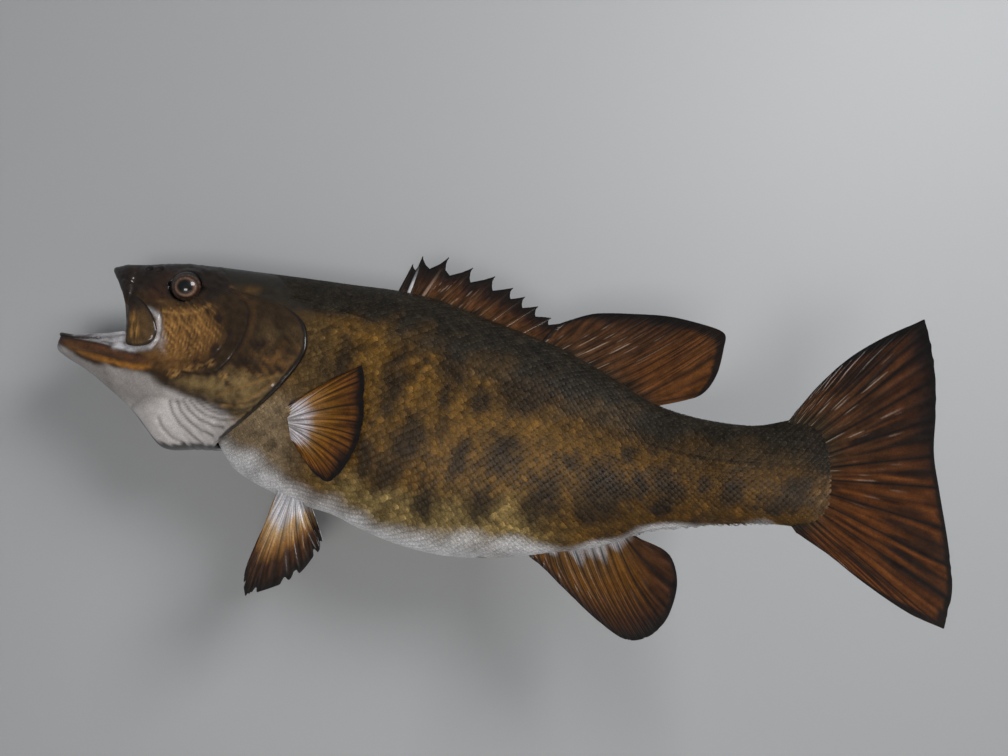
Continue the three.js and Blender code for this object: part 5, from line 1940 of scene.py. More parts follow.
@dataclass
class FinPaint:
    """Colours of a fin, from its root to its edge.

    Args:
        stops: (share of the way out, colour) pairs.
        edge: Width of the dark margin, as a share of the fin's length.
        line: Strength of the dark lines beside the rays.
        gloss: Strength of the pale streaks along the rays, a painted sheen highlight.
        front: Strength of the dark leading edge.
        rear: Colour that the rear of the fin turns to.
        rear_from: Share across the fin where it starts to.
        back: Strength of the dark upper and lower edges.
        front_width: Width of the dark leading edge, as a share across.
        streak: Strength of the broad dark streaks.
    """

    stops: Sequence[tuple[float, Colour]]
    edge: float = 0.05
    line: float = 0.6
    gloss: float = 0.3
    front: float = 0.7
    rear: Optional[Colour] = None
    rear_from: float = 0.7
    back: float = 0.0
    front_width: float = 0.035
    streak: float = 0.25

    def colours(self, u: Array, v: Array, ray: Array, gap: Array, seed: int) -> Array:
        """Colours of a fin's points.

        Args:
            u: Share across the fin from its leading edge.
            v: Share out from the root.
            ray: How far each point lies on a ray, 0 to 1.
            gap: How far each point lies on the dark line beside a ray, 0 to 1.
            seed: Number that picks the fin's patterns, its painted sheen streaks among them.

        Returns:
            One linear colour for each point.
        """
        flat_u, flat_v = u.ravel(), v.ravel()
        wave = ripple(flat_u * 9, flat_v * 3, 0 * flat_u, 1.0, seed)
        fine = ripple(flat_u * 80, flat_v * 2, 0 * flat_u, 1.0, seed + 1)
        places = np.array([stop[0] for stop in self.stops])
        tones = np.array([stop[1] for stop in self.stops])
        out = flat_v + 0.05 * wave
        base = np.stack([np.interp(out, places, tones[:, k]) for k in range(3)], 1)
        coat = Coat(len(flat_u), base)
        if self.rear is not None:
            coat.lay(self.rear, 0.8 * smooth((flat_u - self.rear_from) / 0.15) * smooth(flat_v / 0.3))
        coat.shade(1 + 0.16 * wave + 0.34 * fine)
        coat.shade(0.85 + 0.3 * ray.ravel())
        coat.lay(EDGE_BLACK, self.line * gap.ravel() * smooth(flat_v / 0.12))
        broad = ripple(flat_u * 26, flat_v * 1.3, 0 * flat_u, 1.0, seed + 2)
        coat.lay(EDGE_BLACK, self.streak * smooth((broad - 0.3) / 0.7) * smooth(flat_v / 0.2))
        # Pale streaks along the rays near the leading edge: a painted highlight, the sheen of the varnish.
        hair = ripple(flat_u * 0.42 * u.shape[1], flat_v * 2.2, 0 * flat_u, 1.0, seed + 3)
        gold_and_sheen_streaks = smooth((hair + 0.3 * wave - 1.2) / 0.45)
        gold_and_sheen_streaks = gold_and_sheen_streaks * smooth((0.8 - flat_v) / 0.2) * smooth(flat_v / 0.08)
        coat.lay((0.40, 0.31, 0.24), self.gloss * gold_and_sheen_streaks * smooth((0.62 - flat_u) / 0.2 + 0.1))
        lead = smooth(1.5 * (1 - flat_u / self.front_width)) * smooth(flat_v / 0.3)
        lead = np.maximum(lead, self.back * smooth(1.5 * (1 - (1 - flat_u) / 0.14)))
        coat.lay(EDGE_BLACK, self.front * lead)
        ends = smooth((0.3 - flat_u) / 0.08) + smooth((flat_u - 0.7) / 0.08)
        edge = self.edge * (1 + 0.25 * fine + 4 * self.back * ends)
        margin = smooth((flat_v - 1 + edge) / (0.4 * edge))
        coat.lay(EDGE_BLACK, 0.95 * margin)
        return coat.colour.reshape(*u.shape, 3)


@dataclass
class Fin:
    """One fin: a thin blade with branching rays, between a root line and an edge.

    Args:
        name: Name of the piece.
        node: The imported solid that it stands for.
        root: Root points, as (station, left, height) for shares across.
        edge: Corners of the edge, as (station, left, height).
        facing: Way in which the blade's near face points, as (station, left, height).
        rays: Number of rays.
        paint: Its colours.
        columns: Faces across.
        rows: Faces from the root to the edge.
        root_half: Half its thickness at the root.
        edge_half: Half its thickness at the edge.
        ray_half: Height of a ray over the web.
        first_ray: Height of the leading ray, as a multiple of the others'.
        bow: Curve of the rays, as a share of their length.
        sharp: Corners of the edge that stay sharp.
        ragged: Depth of the notches of the worn edge.
        wave: Height of the web's gentle waves.
        sweep: Place along the edge that each share across the root is joined to.
    """

    name: str
    node: str
    root: Callable[[Array], Array]
    edge: Sequence[Sequence[float]]
    facing: tuple[float, float, float]
    rays: float
    paint: FinPaint
    columns: int = 200
    rows: int = 36
    root_half: float = 1.3
    edge_half: float = 0.3
    ray_half: float = 0.32
    first_ray: float = 2.2
    bow: float = 0.0
    sharp: Sequence[int] = ()
    ragged: float = 0.0
    wave: float = 0.5
    sweep: Track = Track((0, 0), (1, 1))

    def rays_at(self, u: Array, v: Array) -> tuple[Array, Array]:
        """Tells how far points lie on the rays, which branch twice.

        Args:
            u: Share across the fin.
            v: Share out from the root.

        Returns:
            Shares by which each point lies on a ray, and on the dark line beside one.
        """
        phase = np.mod(u * self.rays, 1) - 0.5
        fork = 0.25 * smooth((v - 0.3) / 0.45)
        twig = 0.105 * smooth((v - 0.66) / 0.3)
        near = np.abs(np.abs(phase) - fork)
        nearer = np.abs(near - twig)
        width = mix(0.2, 0.075, smooth(v / 0.8))
        ray = bump(nearer, 0, width)
        joints = 0.86 + 0.14 * np.cos(v * 150) * smooth((v - 0.25) / 0.2)
        middle = bump(np.abs(phase), 0.5, 0.07)
        split = bump(phase, 0, 0.06) * smooth((v - 0.25) / 0.25)
        return ray * joints, np.clip(middle + 0.6 * split, 0, 1)

    def build(self, midline: Midline, seed: int) -> Piece:
        """Makes the blade and closes it all round.

        Args:
            midline: The fish's middle line.
            seed: Number that picks the notches of the ragged edge and the fin's patterns, its painted
                sheen streaks among them.

        Returns:
            The finished piece.
        """
        across = np.arange(self.columns + 1) / self.columns
        out = (np.arange(self.rows + 1) / self.rows) ** 0.94
        u, v = np.meshgrid(across, out)
        corners = len(self.edge) - 1
        edge = curve_through(self.edge, self.sweep(across) * corners, self.sharp)
        foot = self.root(across)
        teeth = np.abs(np.sin(across * self.rays * 2 * np.pi)) * ripple(across * 40, 0, 0, 3.0, seed)
        length = np.linalg.norm(edge - foot, axis=1)
        trim = 1 - self.ragged * np.clip(teeth, 0, 1) / np.maximum(length, 1)
        edge = foot + (edge - foot) * trim[:, None]
        spots = mix(foot[None], edge[None], v[..., None])
        way = edge - foot
        facing = np.array(self.facing)
        aside = np.cross(facing, way)
        aside /= np.maximum(np.linalg.norm(aside, axis=1, keepdims=True), 1e-9)
        spots += aside[None] * (self.bow * length[None] * np.sin(np.pi * v))[..., None]
        ray, gap = self.rays_at(u, v)
        rim = np.minimum(1, np.minimum(u, 1 - u) * self.columns / 2)
        half = mix(self.root_half, self.edge_half, np.minimum(1, v * 1.6) ** 0.7)
        half = half + self.ray_half * ray * smooth((1.0 - v) / 0.08) * smooth(v / 0.08)
        half *= mix(0.25, 1.0, rim)
        leading = self.ray_half * self.first_ray * bump(u, 0, 0.018)
        half = half + leading * smooth((1 - v) / 0.15)
        sway = self.wave * np.sin(u * self.rays * 0.7 + 2 * v) * smooth((v - 0.15) / 0.5)
        sway += 0.05 * np.cos(u * self.rays * 2 * np.pi) * smooth(v / 0.3)
        colour = self.paint.colours(u, v, ray, gap, seed)
        near = spots + facing * (half + sway)[..., None]
        far = spots + facing * (sway - half)[..., None]
        sheet = np.concatenate([near, far[::-1], near[:1]], 0)
        middle = (sheet + sheet[::-1]) / 2
        sheet = np.concatenate([middle[:, :1], sheet, middle[:, -1:]], 1)
        paint = np.concatenate([colour, colour[::-1], colour[:1]], 0)
        paint = np.concatenate([paint[:, :1], paint, paint[:, -1:]], 1)
        points = midline.place(sheet[..., 0], sheet[..., 1], sheet[..., 2])
        obj = grid_piece(self.name, points, paint)
        close_piece(obj, 70)
        hand_over(obj, PaintedFinish("varnished_fin", 0.2, 0.2, 0.1, 0.35, 0.14), "fin_web", self.node)
        return obj


@dataclass
class FinSet:
    """All the fins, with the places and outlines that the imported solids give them.

    Args:
        anatomy: Sections of the fish.
        spine_tips: Tips of the dorsal spines, as (station, height).
        spiny_start: Station where the spiny dorsal fin starts.
        spine_lean: How far each spine's tip lies behind its foot.
        web_drop: How far the web sinks behind each spine's tip.
        web_shift: How far behind the tip its lowest point lies.
        buried: Depth of a fin's root in the body.
        tail_middle, tail_reach: Middle of the tail fin's root, as (station, height), and how far
            the root reaches round it both ways.
        soft_dorsal_edge, anal_edge, caudal_edge: Outlines, as (station, height).
        pectoral_edge, pelvic_edge: Outlines, as (station, left, height).
    """

    anatomy: Anatomy
    spine_tips: Spots = (
        (164.8, 78.8), (170.4, 83.4), (185, 82.6), (198.7, 76.3), (211.2, 71), (221.3, 64.1),
        (228, 58.8), (235.3, 53.1), (242.5, 46.4),
    )
    spiny_start: float = 157.0
    spine_lean: tuple[float, ...] = (7.2, 8.2, 15, 19, 19, 20, 19.5, 19, 17)
    web_drop: tuple[float, ...] = (3.4, 7.2, 10.4, 8.2, 8.0, 6.2, 6.2, 5.6, 3.8)
    web_shift: tuple[float, ...] = (1.5, 3.9, 0.6, -1.2, -1.2, -1.2, -1.2, -1.2, -1.2)
    buried: float = 3.0
    tail_middle: tuple[float, float] = (362.0, -37.0)
    tail_reach: tuple[float, float] = (8.0, 24.0)
    soft_dorsal_edge: Spots = (
        (245.6, 42.4), (254, 44.9), (268, 47.4), (290, 45.5), (308, 42.5), (327, 35.9), (334, 31.6),
        (333.4, 25), (329.6, 12), (323, 3), (314, -0.4), (299, -0.6),
    )
    anal_edge: Spots = (
        (230, -81.5), (238, -87.6), (250, -99), (266, -112.6), (279, -120.4), (289, -119.8),
        (297.6, -114), (303.4, -105), (307, -91.5), (304.6, -79.4), (297, -73.4), (285, -70.6),
    )
    caudal_edge: Spots = (
        (366, -8), (377.2, 4.4), (390, 15.4), (404, 23.4), (421, 30.4), (423.4, 14.4), (423.4, -6),
        (421.4, -27), (422.6, -44), (424.6, -66), (425, -84), (421.2, -100.3), (408, -95),
        (392, -84.4), (377, -72.6), (364, -64),
    )
    pectoral_edge: Spots = (
        (108, 34, -1), (127, 40, 8.8), (145, 46, 16.2), (146.4, 47, 8), (146.4, 47, -8.4),
        (145, 46.4, -18), (141.2, 46, -27.4), (134.4, 45, -37), (128.2, 43, -41), (121, 40, -37.6),
        (113.4, 36, -29), (108.4, 33, -22),
    )
    pelvic_edge: Spots = (
        (94.6, 12, -51), (88.6, 17, -71), (83.8, 20.6, -84), (83, 22, -92.6), (84.2, 23, -98.6),
        (90, 22.6, -97), (101, 21, -93.4), (110, 18.6, -88.4), (116, 16.4, -81), (119.6, 14.6, -75),
        (111, 11, -57),
    )

    @staticmethod
    def ridge_root(front: float, rear: float, line: Track, sink: float) -> Callable[[Array], Array]:
        """Root of a fin on the back or belly.

        Args:
            front: Station where it starts.
            rear: Station where it ends.
            line: Height of the back or belly.
            sink: Height of the root over it.

        Returns:
            A function that gives the root points for shares across the fin.
        """

        def root(u: Array) -> Array:
            """Root points for shares across the fin."""
            s = mix(front, rear, u**0.9)
            return np.stack([s, 0 * s, line(s) + sink], 1)

        return root

    @staticmethod
    def flat(corners: Sequence[Sequence[float]]) -> list[tuple[float, float, float]]:
        """Corners of a fin in the fish's middle plane."""
        return [(s, 0.0, h) for s, h in corners]

    def tail_root(self, u: Array) -> Array:
        """Root points of the tail fin, round the end of the body.

        Args:
            u: Share across the fin of each point.

        Returns:
            The points, as (station, left, height).
        """
        angle = np.pi * (0.5 - u)
        (s, h), (behind, over) = self.tail_middle, self.tail_reach
        return np.stack([s + behind * np.cos(angle), 0 * u, h + over * np.sin(angle)], 1)

    def paired(self) -> list[Fin]:
        """Sets out the pectoral and pelvic fins.

        Returns:
            The four fins of both sides.
        """
        pectoral = FinPaint(
            ((0, (0.44, 0.40, 0.39)), (0.2, (0.66, 0.60, 0.62)), (0.38, (0.32, 0.16, 0.05)),
             (0.56, (0.21, 0.085, 0.008)), (0.8, (0.15, 0.052, 0.008)), (0.93, (0.03, 0.012, 0.006)),
             (1, (0.01, 0.006, 0.004))),
            edge=0.08, line=0.95, gloss=0.05, front=0.98, front_width=0.085,
        )
        pelvic = FinPaint(
            ((0, (0.66, 0.66, 0.70)), (0.25, (0.62, 0.58, 0.59)), (0.38, (0.46, 0.30, 0.15)),
             (0.58, (0.25, 0.115, 0.03)), (0.7, (0.05, 0.02, 0.008)), (1, (0.012, 0.008, 0.006))),
            edge=0.1, line=0.6, gloss=0.35, front=0.2,
        )
        fins = []
        for side in Side:
            sign = side.value
            spread = 1.0 if side is Side.LEFT else 0.55

            def pectoral_root(u: Array, sign: int = sign) -> Array:
                """Root of the pectoral fin."""
                return np.stack([103.6 + 3 * u, 0 * u + sign * 28.4, mix(-4.2, -20.2, u)], 1)

            def pelvic_root(u: Array, sign: int = sign) -> Array:
                """Root of the pelvic fin."""
                return np.stack([mix(96, 108.6, u), 0 * u + sign * 9.4, mix(-46.4, -51.6, u)], 1)

            edge = [(s, sign * (32 + (left - 32) * spread), h) for s, left, h in self.pectoral_edge]
            word = side.name.lower()
            fins.append(Fin(
                f"pectoral_{word}", f"pectoral_fin_{word}", pectoral_root, edge, (-0.25 * sign, 0.97, 0),
                15, pectoral, columns=210, rows=40, root_half=1.5, edge_half=0.28, ray_half=0.3,
                bow=-0.03, sharp=(2,), ragged=1.0, wave=0.35,
            ))
            swept = 0.0 if side is Side.LEFT else 9.0
            edge = [(s + swept * (1 + h / 50), sign * left, h) for s, left, h in self.pelvic_edge]
            fins.append(Fin(
                f"pelvic_{word}", f"pelvic_fin_{word}", pelvic_root, edge, (0.1, 0.96, 0.24 * sign),
                7, pelvic, columns=130, rows=40, root_half=1.6, ray_half=0.42, bow=0.02, sharp=(4,),
                ragged=3.0,
            ))
        return fins

    def median(self) -> list[Fin]:
        """Sets out the fins of the middle plane, but for the spiny one.

        Returns:
            The soft dorsal, anal and tail fins.
        """
        back, belly = self.anatomy.back, self.anatomy.belly
        dorsal = FinPaint(
            ((0, (0.030, 0.019, 0.010)), (0.2, (0.085, 0.036, 0.013)), (0.7, (0.066, 0.026, 0.009)),
             (0.92, (0.018, 0.009, 0.006)), (1, (0.01, 0.006, 0.004))),
            edge=0.13, line=0.6, gloss=0.75, front=0.9, rear=(0.130, 0.045, 0.009), rear_from=0.45,
        )
        anal = FinPaint(
            ((0, (0.50, 0.48, 0.50)), (0.07, (0.38, 0.35, 0.35)), (0.17, (0.13, 0.058, 0.010)),
             (0.45, (0.145, 0.054, 0.004)), (0.75, (0.062, 0.021, 0.004)), (0.93, (0.018, 0.008, 0.005)),
             (1, (0.01, 0.006, 0.004))),
            edge=0.07, line=0.95, gloss=0.08, front=0.95, rear=(0.055, 0.02, 0.007), rear_from=0.8,
        )
        caudal = FinPaint(
            ((0, (0.026, 0.019, 0.012)), (0.1, (0.05, 0.031, 0.014)), (0.35, (0.070, 0.028, 0.010)),
             (0.8, (0.066, 0.023, 0.008)), (0.94, (0.016, 0.008, 0.006)), (1, (0.008, 0.005, 0.004))),
            edge=0.045, line=1.0, gloss=0.7, front=0.95, rear=(0.120, 0.035, 0.005), rear_from=0.42,
            back=0.8, front_width=0.06, streak=0.7,
        )
        side = (0.0, 1.0, 0.0)
        return [
            Fin(
                "soft_dorsal", "dorsal_fin_soft", self.ridge_root(235.5, 297.5, back, -self.buried),
                self.flat(self.soft_dorsal_edge), side, 13, dorsal, columns=240, edge_half=0.28,
                ray_half=0.2, bow=0.02, sharp=(0, 11), wave=0.2,
                sweep=Track((0, 0), (0.1, 0.19), (0.33, 0.345), (0.59, 0.45), (0.84, 0.64), (1, 1)),
            ),
            Fin(
                "anal", "anal_fin", self.ridge_root(229, 284, belly, self.buried),
                self.flat(self.anal_edge), side, 12, anal, columns=220, edge_half=0.28,
                ray_half=0.22, bow=0.045, sharp=(0, 11), ragged=0.3, wave=0.2,
                sweep=Track((0, 0), (0.36, 0.32), (0.6, 0.43), (0.8, 0.54), (0.93, 0.74), (1, 1)),
            ),
            Fin(
                "tail_fin", "caudal_fin", self.tail_root, self.flat(self.caudal_edge), side, 19,
                caudal, columns=340, rows=44, root_half=1.2, edge_half=0.28, ray_half=0.17,
                sharp=(4, 11), ragged=0.5, wave=0.15,
            ),
        ]

    def spiny_dorsal(self) -> Piece:
        """Makes the spiny dorsal fin: a scalloped web between bare spines.

        Returns:
            The finished piece, spines and web in one.
        """
        back = self.anatomy.back
        edge, feet = [(self.spiny_start, float(back(self.spiny_start)))], [self.spiny_start - 1.0]
        tips = [*self.spine_tips, (247.5, 43.0)]
        for i, drop in enumerate(self.web_drop):
            (s, h), (next_s, next_h) = tips[i], tips[i + 1]
            foot = s - self.spine_lean[i]
            next_foot = next_s - (*self.spine_lean, 12.0)[i + 1]
            shift = self.web_shift[i]
            first, second = (0.1 * shift, 0.45 * shift) if i < 2 else (-1.3, -1.7)
            low = (s + shift, h - drop)
            edge += [(s, h), (s + first, h - 0.3 * drop), (s + second, h - 0.7 * drop), low]
            edge.append((mix(low[0], next_s, 0.55), mix(low[1], next_h, 0.42)))
            feet += [mix(foot, next_foot, share) for share in (0.0, 0.1, 0.2, 0.35, 0.7)]
        edge.append(tips[-1])
        feet.append(240.0)

        def root(u: Array) -> Array:
            """Root points of the web."""
            foot = np.interp(u * (len(feet) - 1), np.arange(len(feet)), feet)
            return np.stack([foot, 0 * foot, back(foot) - self.buried], 1)

        paint = FinPaint(
            ((0, (0.03, 0.018, 0.010)), (0.2, (0.085, 0.034, 0.010)), (0.5, (0.075, 0.028, 0.009)),
             (0.74, (0.022, 0.010, 0.006)), (1, (0.008, 0.006, 0.005))),
            edge=0.12, line=0.5, gloss=0.45, front=0.92, front_width=0.3,
        )
        web = Fin(
            "spiny_dorsal", "dorsal_fin_spiny", root, self.flat(edge), (0.0, 1.0, 0.0), 9.2, paint,
            columns=368, rows=24, root_half=1.2, edge_half=0.26, ray_half=0.05,
            sharp=range(len(edge)), wave=0.15,
        )
        obj = web.build(self.anatomy.midline, 41)
        spines = [self.spine(i) for i in range(len(self.spine_tips))]
        pick(obj)
        for spine in spines:
            spine.data.materials.append(obj.data.materials[0])
            spine.select_set(True)
        bpy.ops.object.join()
        deselect()
        return obj

    def spine(self, index: int) -> Piece:
        """Makes one tapered spine, from the back to its tip.

        Args:
            index: Number of the spine from the front.

        Returns:
            The spine, not yet joined to the web.
        """
        s, h = self.spine_tips[index]
        foot = s - self.spine_lean[index]
        place = self.anatomy.midline.place
        base = place(np.array(foot), np.array(0.0), self.anatomy.back(foot) - 2)
        tip = place(np.array(s), np.array(0.0), np.array(h))
        way = Vector(tip - base)
        deselect()
        bpy.ops.mesh.primitive_cone_add(
            vertices=12, radius1=0.0014 if index < 3 else 0.0010, radius2=0.0003, depth=way.length,
            location=Vector(base) + way / 2, rotation=way.to_track_quat("Z", "Y").to_euler(),
        )
        spine = bpy.context.object
        bpy.ops.object.mode_set(mode="EDIT")
        bpy.ops.mesh.select_all(action="SELECT")
        bpy.ops.mesh.subdivide(number_cuts=3)
        bpy.ops.object.mode_set(mode="OBJECT")
        bpy.ops.object.transform_apply(location=True, rotation=True, scale=True)
        bpy.ops.object.shade_smooth_by_angle(angle=math.radians(50))
        points = get_points(spine)
        share = np.clip((points - base) @ np.array(way) / way.length_squared, 0, 1)
        tones = (HEAD_DARK, BARE_WHITE, (0.26, 0.17, 0.12), (0.12, 0.055, 0.02))
        bright = np.array(tones[min(index, 3)])
        set_paint(spine, mix(bright, np.array(EDGE_BLACK), smooth((share - 0.25) / 0.4)[:, None]))
        return spine

    def build(self) -> None:
        """Makes every fin."""
        for seed, fin in enumerate(self.paired() + self.median()):
            fin.build(self.anatomy.midline, 50 + 3 * seed)
        self.spiny_dorsal()


# ---- Eyes, mouth and jaws ------------------------------------------------------------------


@dataclass
class Eye:
    """A glass eye with a copper ring round a black pupil.

    Args:
        anatomy: Sections of the fish.
        side: Side of the head.
        station: Station of the ball's centre.
        height: Height of the ball's centre.
        radius: Radius of the ball.
        sunk: Depth of its centre under the head's surface.
        pupil: Half length and half height of the pupil, as shares of the radius.
    """

    anatomy: Anatomy
    side: Side
    station: float = 45.7
    height: float = 60.9
    radius: float = 9.1
    sunk: float = 6.1
    pupil: tuple[float, float] = (0.375, 0.36)

    def build(self) -> Piece:
        """Makes the ball and paints it by the distance from the pupil's middle.

        Returns:
            The finished piece.
        """
        turns = np.linspace(0.02, 0.5, 400)
        left, height = self.anatomy.head(np.full(400, self.station), turns, 1)
        out = float(np.interp(-self.height, -height, left)) - self.sunk
        midline = self.anatomy.midline
        spot = (self.station, out * self.side.value, self.height)
        centre = midline.place(*(np.array(value) for value in spot))
        deselect()
        bpy.ops.mesh.primitive_uv_sphere_add(
            segments=72, ring_count=48, radius=self.radius / METRE, location=Vector(centre),
        )
        ball = bpy.context.object
        word = self.side.name.lower()
        ball.name = ball.data.name = f"glass_eye_{word}"
        bpy.ops.object.transform_apply(location=True, rotation=True, scale=True)
        bpy.ops.object.shade_smooth()
        local = (get_points(ball) - centre) * METRE / self.radius
        x, z = local[:, 0] - 0.10, local[:, 2] + 0.07
        out_way = -local[:, 1] * self.side.value
        reach = np.hypot(x / self.pupil[0], z / self.pupil[1])
        angle = np.arctan2(z, x)
        fine = ripple(np.cos(angle) * 4, np.sin(angle) * 4, reach, 1.0, 61 + self.side.value)
        coat = Coat(len(local), (0.026, 0.014, 0.009))
        coat.lay((0.11, 0.066, 0.046), 0.8 * bump(reach, 2.0, 0.13) * smooth(0.6 + 0.5 * fine))
        # The copper ring is painted weaker at the top and stronger at the bottom: painted shade above and
        # painted light below.
        copper = 0.7 + 0.2 * fine - 0.25 * np.sin(angle)
        coat.lay((0.27, 0.15, 0.095), 0.95 * bump(reach, 1.4, 0.16) * copper)
        coat.lay((0.003, 0.003, 0.003), smooth((1.02 - reach) / 0.05))
        coat.lay((0.008, 0.006, 0.005), smooth((np.hypot(x, z) - 0.79) / 0.05))
        coat.lay((0.010, 0.007, 0.006), smooth(-out_way / 0.2))
        set_paint(ball, coat.colour)
        hand_over(
            ball, PaintedFinish("eye_glass_painted", 0.1, 0.1, 0.0, 0.8, 0.03), "eye_glass",
            f"eye_{word}",
        )
        return ball


@dataclass
class Maxilla:
    """The bony lip plate that hangs over the corner of the mouth.

    Args:
        anatomy: Sections of the fish.
        side: Side of the head.
        thickness: Height of the plate over the head.
        depth: Depth of its back under the head's surface.
        rings: Faces from its middle to its edge.
        spokes: Faces round it.
        outline: Corners of its edge, as (station, height).
        heart: Its middle, as (station, height).
        corner: Station from which the head is carried on forwards.
        narrowing: How fast it narrows there.
    """

    anatomy: Anatomy
    side: Side
    thickness: float = 1.5
    depth: float = 1.6
    rings: int = 14
    spokes: int = 84
    heart: tuple[float, float] = (24.6, 40.0)
    corner: float = 18.5
    narrowing: float = 0.62
    outline: Spots = (
        (17.2, 55), (17.9, 49.5), (17.8, 40), (17.3, 32.5), (18.4, 29.4), (23.5, 28.5), (29.2, 29.2),
        (32.8, 32), (34, 36.6), (32.6, 41.6), (30, 46.6), (26.4, 51), (21.6, 55),
    )

    def surface(self, s: Array, h: Array) -> Array:
        """Finds the side of the head, carried on ahead of the mouth's corner.

        Args:
            s: Station of each point.
            h: Height of each point.

        Returns:
            The half-width of the head at each point.
        """
        at = np.maximum(s, self.corner)
        width = self.anatomy.head_width(at)
        middle = self.anatomy.waist(at)
        top = self.anatomy.back(at)
        share = np.clip((h - middle) / (top - middle), 0, 0.995)
        angle = np.arccos(share)
        side = width * np.sin(angle) ** self.anatomy.back_sharpness(at)
        return side - self.narrowing * np.maximum(self.corner - s, 0)

    def build(self) -> Piece:
        """Makes the plate as a domed front over a plain back.

        Returns:
            The finished piece.
        """
        around = np.linspace(0, len(self.outline), self.spokes + 1)
        rim = curve_through([*self.outline, self.outline[0]], around)
        out = np.linspace(0, 1, self.rings + 1)[:, None, None]
        face = mix(np.array(self.heart), rim[None], out)
        s, h = face[..., 0], face[..., 1]
        reach = out[..., 0] * np.ones(s.shape)
        dome = self.thickness * (1 - reach**5) ** 0.7 + 0.12 * bump(reach, 0.78, 0.14) - 0.3
        dome = dome + 0.12 * ripple(s, h, 0 * s, 5, 31)
        left = self.surface(s, h)
        pairs = ((s, s), (left + dome, left - self.depth), (h, h), (reach, reach))
        s, left, h, reach = (np.concatenate([front, back[::-1][1:]], 0) for front, back in pairs)
        points = self.anatomy.midline.place(s, self.side.value * left, h)
        paint = self.colours(s.ravel(), h.ravel(), reach.ravel())
        word = self.side.name.lower()
        obj = grid_piece(f"lip_plate_{word}", points, paint.reshape(*s.shape, 3))
        close_piece(obj, 75)
        finish = PaintedFinish("varnished_bone", 0.25, 0.2, 0.1, 0.5, 0.12)
        hand_over(obj, finish, "lip_bone", f"maxilla_{word}")
        return obj

    def colours(self, s: Array, h: Array, reach: Array) -> Array:
        """Paints a golden middle, an olive top and rear, and a dark edge.

        Args:
            s: Station of each point.
            h: Height of each point.
            reach: Share of the way out from the plate's middle.

        Returns:
            One linear colour for each point.
        """
        wave = ripple(s, h, 0 * s, 7, 33)
        coat = Coat(len(s), (0.060, 0.035, 0.014))
        gold_and_sheen_streaks = smooth(0.55 + 0.7 * ripple(s, h * 0.12, 0 * s, 1.3, 35))
        coat.lay((0.34, 0.17, 0.045), 0.95 * gold_and_sheen_streaks * dab(s, h, (22.9, 36, 2.1, 9, 8), 0.9))
        coat.lay((0.12, 0.065, 0.025), 0.7 * dab(s, h, (27.4, 38, 2.2, 9, 12), 0.8))
        coat.lay(HEAD_DARK, 0.9 * smooth((h - 45 + wave) / 6))
        coat.lay(EDGE_BLACK, 0.85 * smooth((reach - 0.86) / 0.1))
        coat.shade(1 + 0.15 * wave)
        return coat.colour


@dataclass
class Teeth:
    """Bands of small dark teeth along both jaws.

    Args:
        anatomy: Sections of the fish.
        rows: Rows of teeth from the lip inwards.
        count: Teeth along each row.
    """

    anatomy: Anatomy
    rows: int = 4
    count: int = 110

    def build(self) -> None:
        """Makes one piece for the upper jaw and one for the lower."""
        for name, low, high, way in (("teeth_upper", 0.0, 0.44, -1), ("teeth_lower", 0.62, 1.0, 1)):
            self.band(name, low, high, way)

    def band(self, name: str, low: float, high: float, way: int) -> Piece:
        """Sets many small cones on a strip just inside one lip.

        Args:
            name: Name of the piece.
            low: Turn of the mouth's ring where the band starts.
            high: Turn where it ends.
            way: 1 for teeth that point up and -1 for teeth that point down.

        Returns:
            The finished piece.
        """
        deselect()
        bpy.ops.mesh.primitive_cone_add(vertices=5, radius1=1, depth=1, location=(0, 0, 0.5))
        bpy.ops.object.transform_apply(location=True, rotation=True, scale=True)
        shape, faces = pattern_of(bpy.context.object)
        random = np.random.default_rng(17 + way)
        spread = np.linspace(low, high, self.count)
        turn, side, inward = [], [], []
        for row in range(self.rows):
            for sign in (1, -1):
                turn.append(spread + random.uniform(-0.002, 0.002, self.count))
                side.append(np.full(self.count, float(sign)))
                inward.append(0.015 + 0.022 * row + random.uniform(-0.006, 0.006, self.count))
        turn, side, inward = (np.concatenate(part) for part in (turn, side, inward))
        turn = np.clip(turn, 0, 1)
        s, left, h = self.anatomy.mouth(turn, side, np.clip(inward, 0, 1))
        reach = random.uniform(0.7, 1.5, len(s))
        wide = random.uniform(0.26, 0.42, len(s))
        x = s[:, None] + shape[None, :, 0] * wide[:, None] + shape[None, :, 2] * reach[:, None] * 0.45
        y = left[:, None] + shape[None, :, 1] * wide[:, None]
        z = h[:, None] + way * shape[None, :, 2] * reach[:, None] - 0.25 * way
        x, z = self.anatomy.settle(x, z)
        points = self.anatomy.midline.place(x, y, z).reshape(-1, 3)
        obj = copies_piece(name, points, faces, len(s))
        tone = np.repeat(random.uniform(0.5, 1.6, (len(s), 1)), len(shape), 0)
        tip = np.tile(shape[:, 2], len(s))[:, None]
        set_paint(obj, np.array((0.06, 0.042, 0.032)) * tone * (0.6 + 1.2 * tip))
        face_out(obj)
        hand_over(obj, PaintedFinish("varnished_teeth", 0.1, 0.1, 0.0, 0.8, 0.2), "mouth_lining")
        return obj


